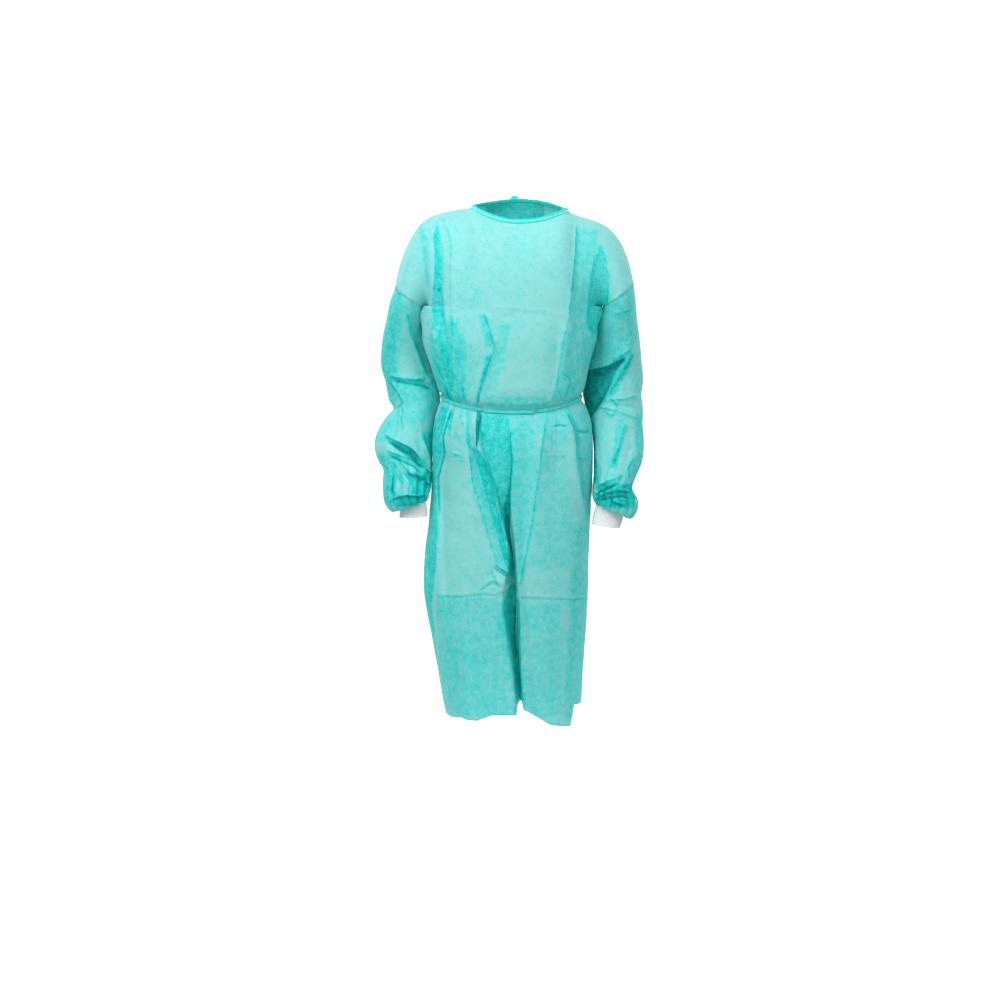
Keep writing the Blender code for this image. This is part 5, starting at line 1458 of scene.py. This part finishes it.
def add_knot(name, middle, sizes):
    """A knot: loops of the rolled tape round the tie, side by side and a little askew."""
    turn = np.arange(KNOT_POINTS) * 2 * np.pi / KNOT_POINTS
    loops = []
    for place, slant, size in KNOT_LOOPS:
        ring = np.stack([
            sizes[0] * (place + slant * np.sin(turn)),
            KNOT_LOOP[0] * size * sizes[1] * np.cos(turn),
            KNOT_LOOP[1] * size * sizes[2] * np.sin(turn),
        ], -1)
        points = middle + ring
        along = directions(points)
        out = unit(np.stack([0 * turn, np.cos(turn) / sizes[1], np.sin(turn) / sizes[2]], -1))
        rise = unit(np.cross(along, out))
        width = KNOT_TAPE[0] * sizes[0] + 0 * turn
        loop = rolled(points, rise, out, width, KNOT_TAPE[1] * sizes[1], 0 * turn)
        loops.append(np.concatenate([loop, loop[:1]]))
    grid = np.concatenate(loops)
    cells = np.ones((len(grid) - 1, grid.shape[1] - 1), bool)
    cells[[len(loops[0]) - 1, 2 * len(loops[0]) - 1]] = False  # no cloth from one loop to the next
    knot = add_cloth(name + "_tape", grid, cells, np.zeros(grid.shape[:2]), tape,
                     thickness=ROLLED_THICKNESS)
    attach(knot, "root")
    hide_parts(name)


belt_face = belt_points + belt_out * BELT_THICKNESS / 2
binding_face = neck_points + (BINDING_GAP + BINDING_WIDTH / 2) * neck_rise
binding_face = binding_face + (BINDING_OUT + BINDING_CROWN) * neck_out
knots_made = (("belt_knot", belt_face, BELT_KNOT), ("neck_knot", binding_face, NECK_KNOT))
for name, face, (x, off, above, sizes) in knots_made:
    behind = face[face[:, 1] > 0]
    behind = behind[np.argsort(behind[:, 0])]
    y, z = (np.interp(x, behind[:, 0], behind[:, i]) for i in (1, 2))
    add_knot(name, np.array([x, y + off + sizes[1], z + above]), sizes)
for name, stations in TAILS.items():
    add_tail(name, stations)


# Studio: a white floor that curves up into a white wall, with large soft lamps on both sides, one
# above and two behind, which shine through the thin cloth.
FLOOR = -1.45
PAPER_HALF_WIDTH = 9
PAPER_COLUMNS = 3
PAPER_ROWS = 59
PAPER_BACK = 3.0  # the floor ends here, and the curve starts
PAPER_RADIUS = 2.0
CURVE_SHARES = (0.45, 0.65)  # the curve's start and end as shares of the way along the paper
WALL_RISE = 18  # metres of wall for a whole way

paper_way = np.linspace(0, 1, PAPER_ROWS + 1)
curve_start, curve_end = CURVE_SHARES
bend = np.clip((paper_way - curve_start) / (curve_end - curve_start), 0, 1) * np.pi / 2
floor_y = np.interp(paper_way, [0, curve_start], [-PAPER_HALF_WIDTH, PAPER_BACK])
paper_y = np.where(paper_way < curve_start, floor_y, PAPER_BACK + PAPER_RADIUS * np.sin(bend))
paper_z = np.where(paper_way < curve_start, 0, PAPER_RADIUS * (1 - np.cos(bend)))
paper_z = FLOOR + paper_z + np.clip(paper_way - curve_end, 0, 1) * WALL_RISE
paper_x = np.linspace(-PAPER_HALF_WIDTH, PAPER_HALF_WIDTH, PAPER_COLUMNS + 1)
paper_grid = np.stack(np.broadcast_arrays(paper_x[None], paper_y[:, None], paper_z[:, None]), -1) / MM
white_paper = new_material("white_paper", {
    "Base Color": (0.93, 0.93, 0.93, 1), "Roughness": 0.9, "Emission Color": (1, 1, 1, 1),
    "Emission Strength": 1.0,
})[0]
number = np.arange(paper_grid[..., 0].size).reshape(PAPER_ROWS + 1, PAPER_COLUMNS + 1)
quads = np.stack([number[:-1, :-1], number[:-1, 1:], number[1:, 1:], number[1:, :-1]], -1).reshape(-1, 4)
stage = add_mesh("paper_backdrop", paper_grid.reshape(-1, 3), quads.tolist(), white_paper)
stage.visible_diffuse = False  # or the floor would light the hem more than the chest

world = bpy.data.worlds.new("studio_air")
world.use_nodes = True
world.node_tree.nodes["Background"].inputs["Color"].default_value = (1, 1, 1, 1)
world.node_tree.nodes["Background"].inputs["Strength"].default_value = 0.42
bpy.context.scene.world = world
LAMPS = (
    # name, place, aim, size, watts
    ("key", (-1.0, -1.6, 1.0), (0, 0, -0.2), 1.0, 31),
    ("fill", (1.2, -1.8, 0.9), (0, 0, -0.2), 1.2, 14),
    ("top", (0, -0.2, 1.7), (0, 0, -0.3), 1.4, 7),
    ("behind_left", (-1.9, 1.8, 0.7), (0, 0, -0.5), 1.4, 22),
    ("behind_right", (1.9, 1.8, 0.7), (0, 0, -0.5), 1.4, 18),
)
for name, place, aim, size, watts in LAMPS:
    lamp_data = bpy.data.lights.new(name, "AREA")
    lamp_data.size = size
    lamp_data.energy = watts
    lamp = bpy.data.objects.new(name, lamp_data)
    lamp.location = place
    lamp.rotation_euler = (Vector(aim) - Vector(place)).to_track_quat("-Z", "Y").to_euler()
    bpy.context.scene.collection.objects.link(lamp)
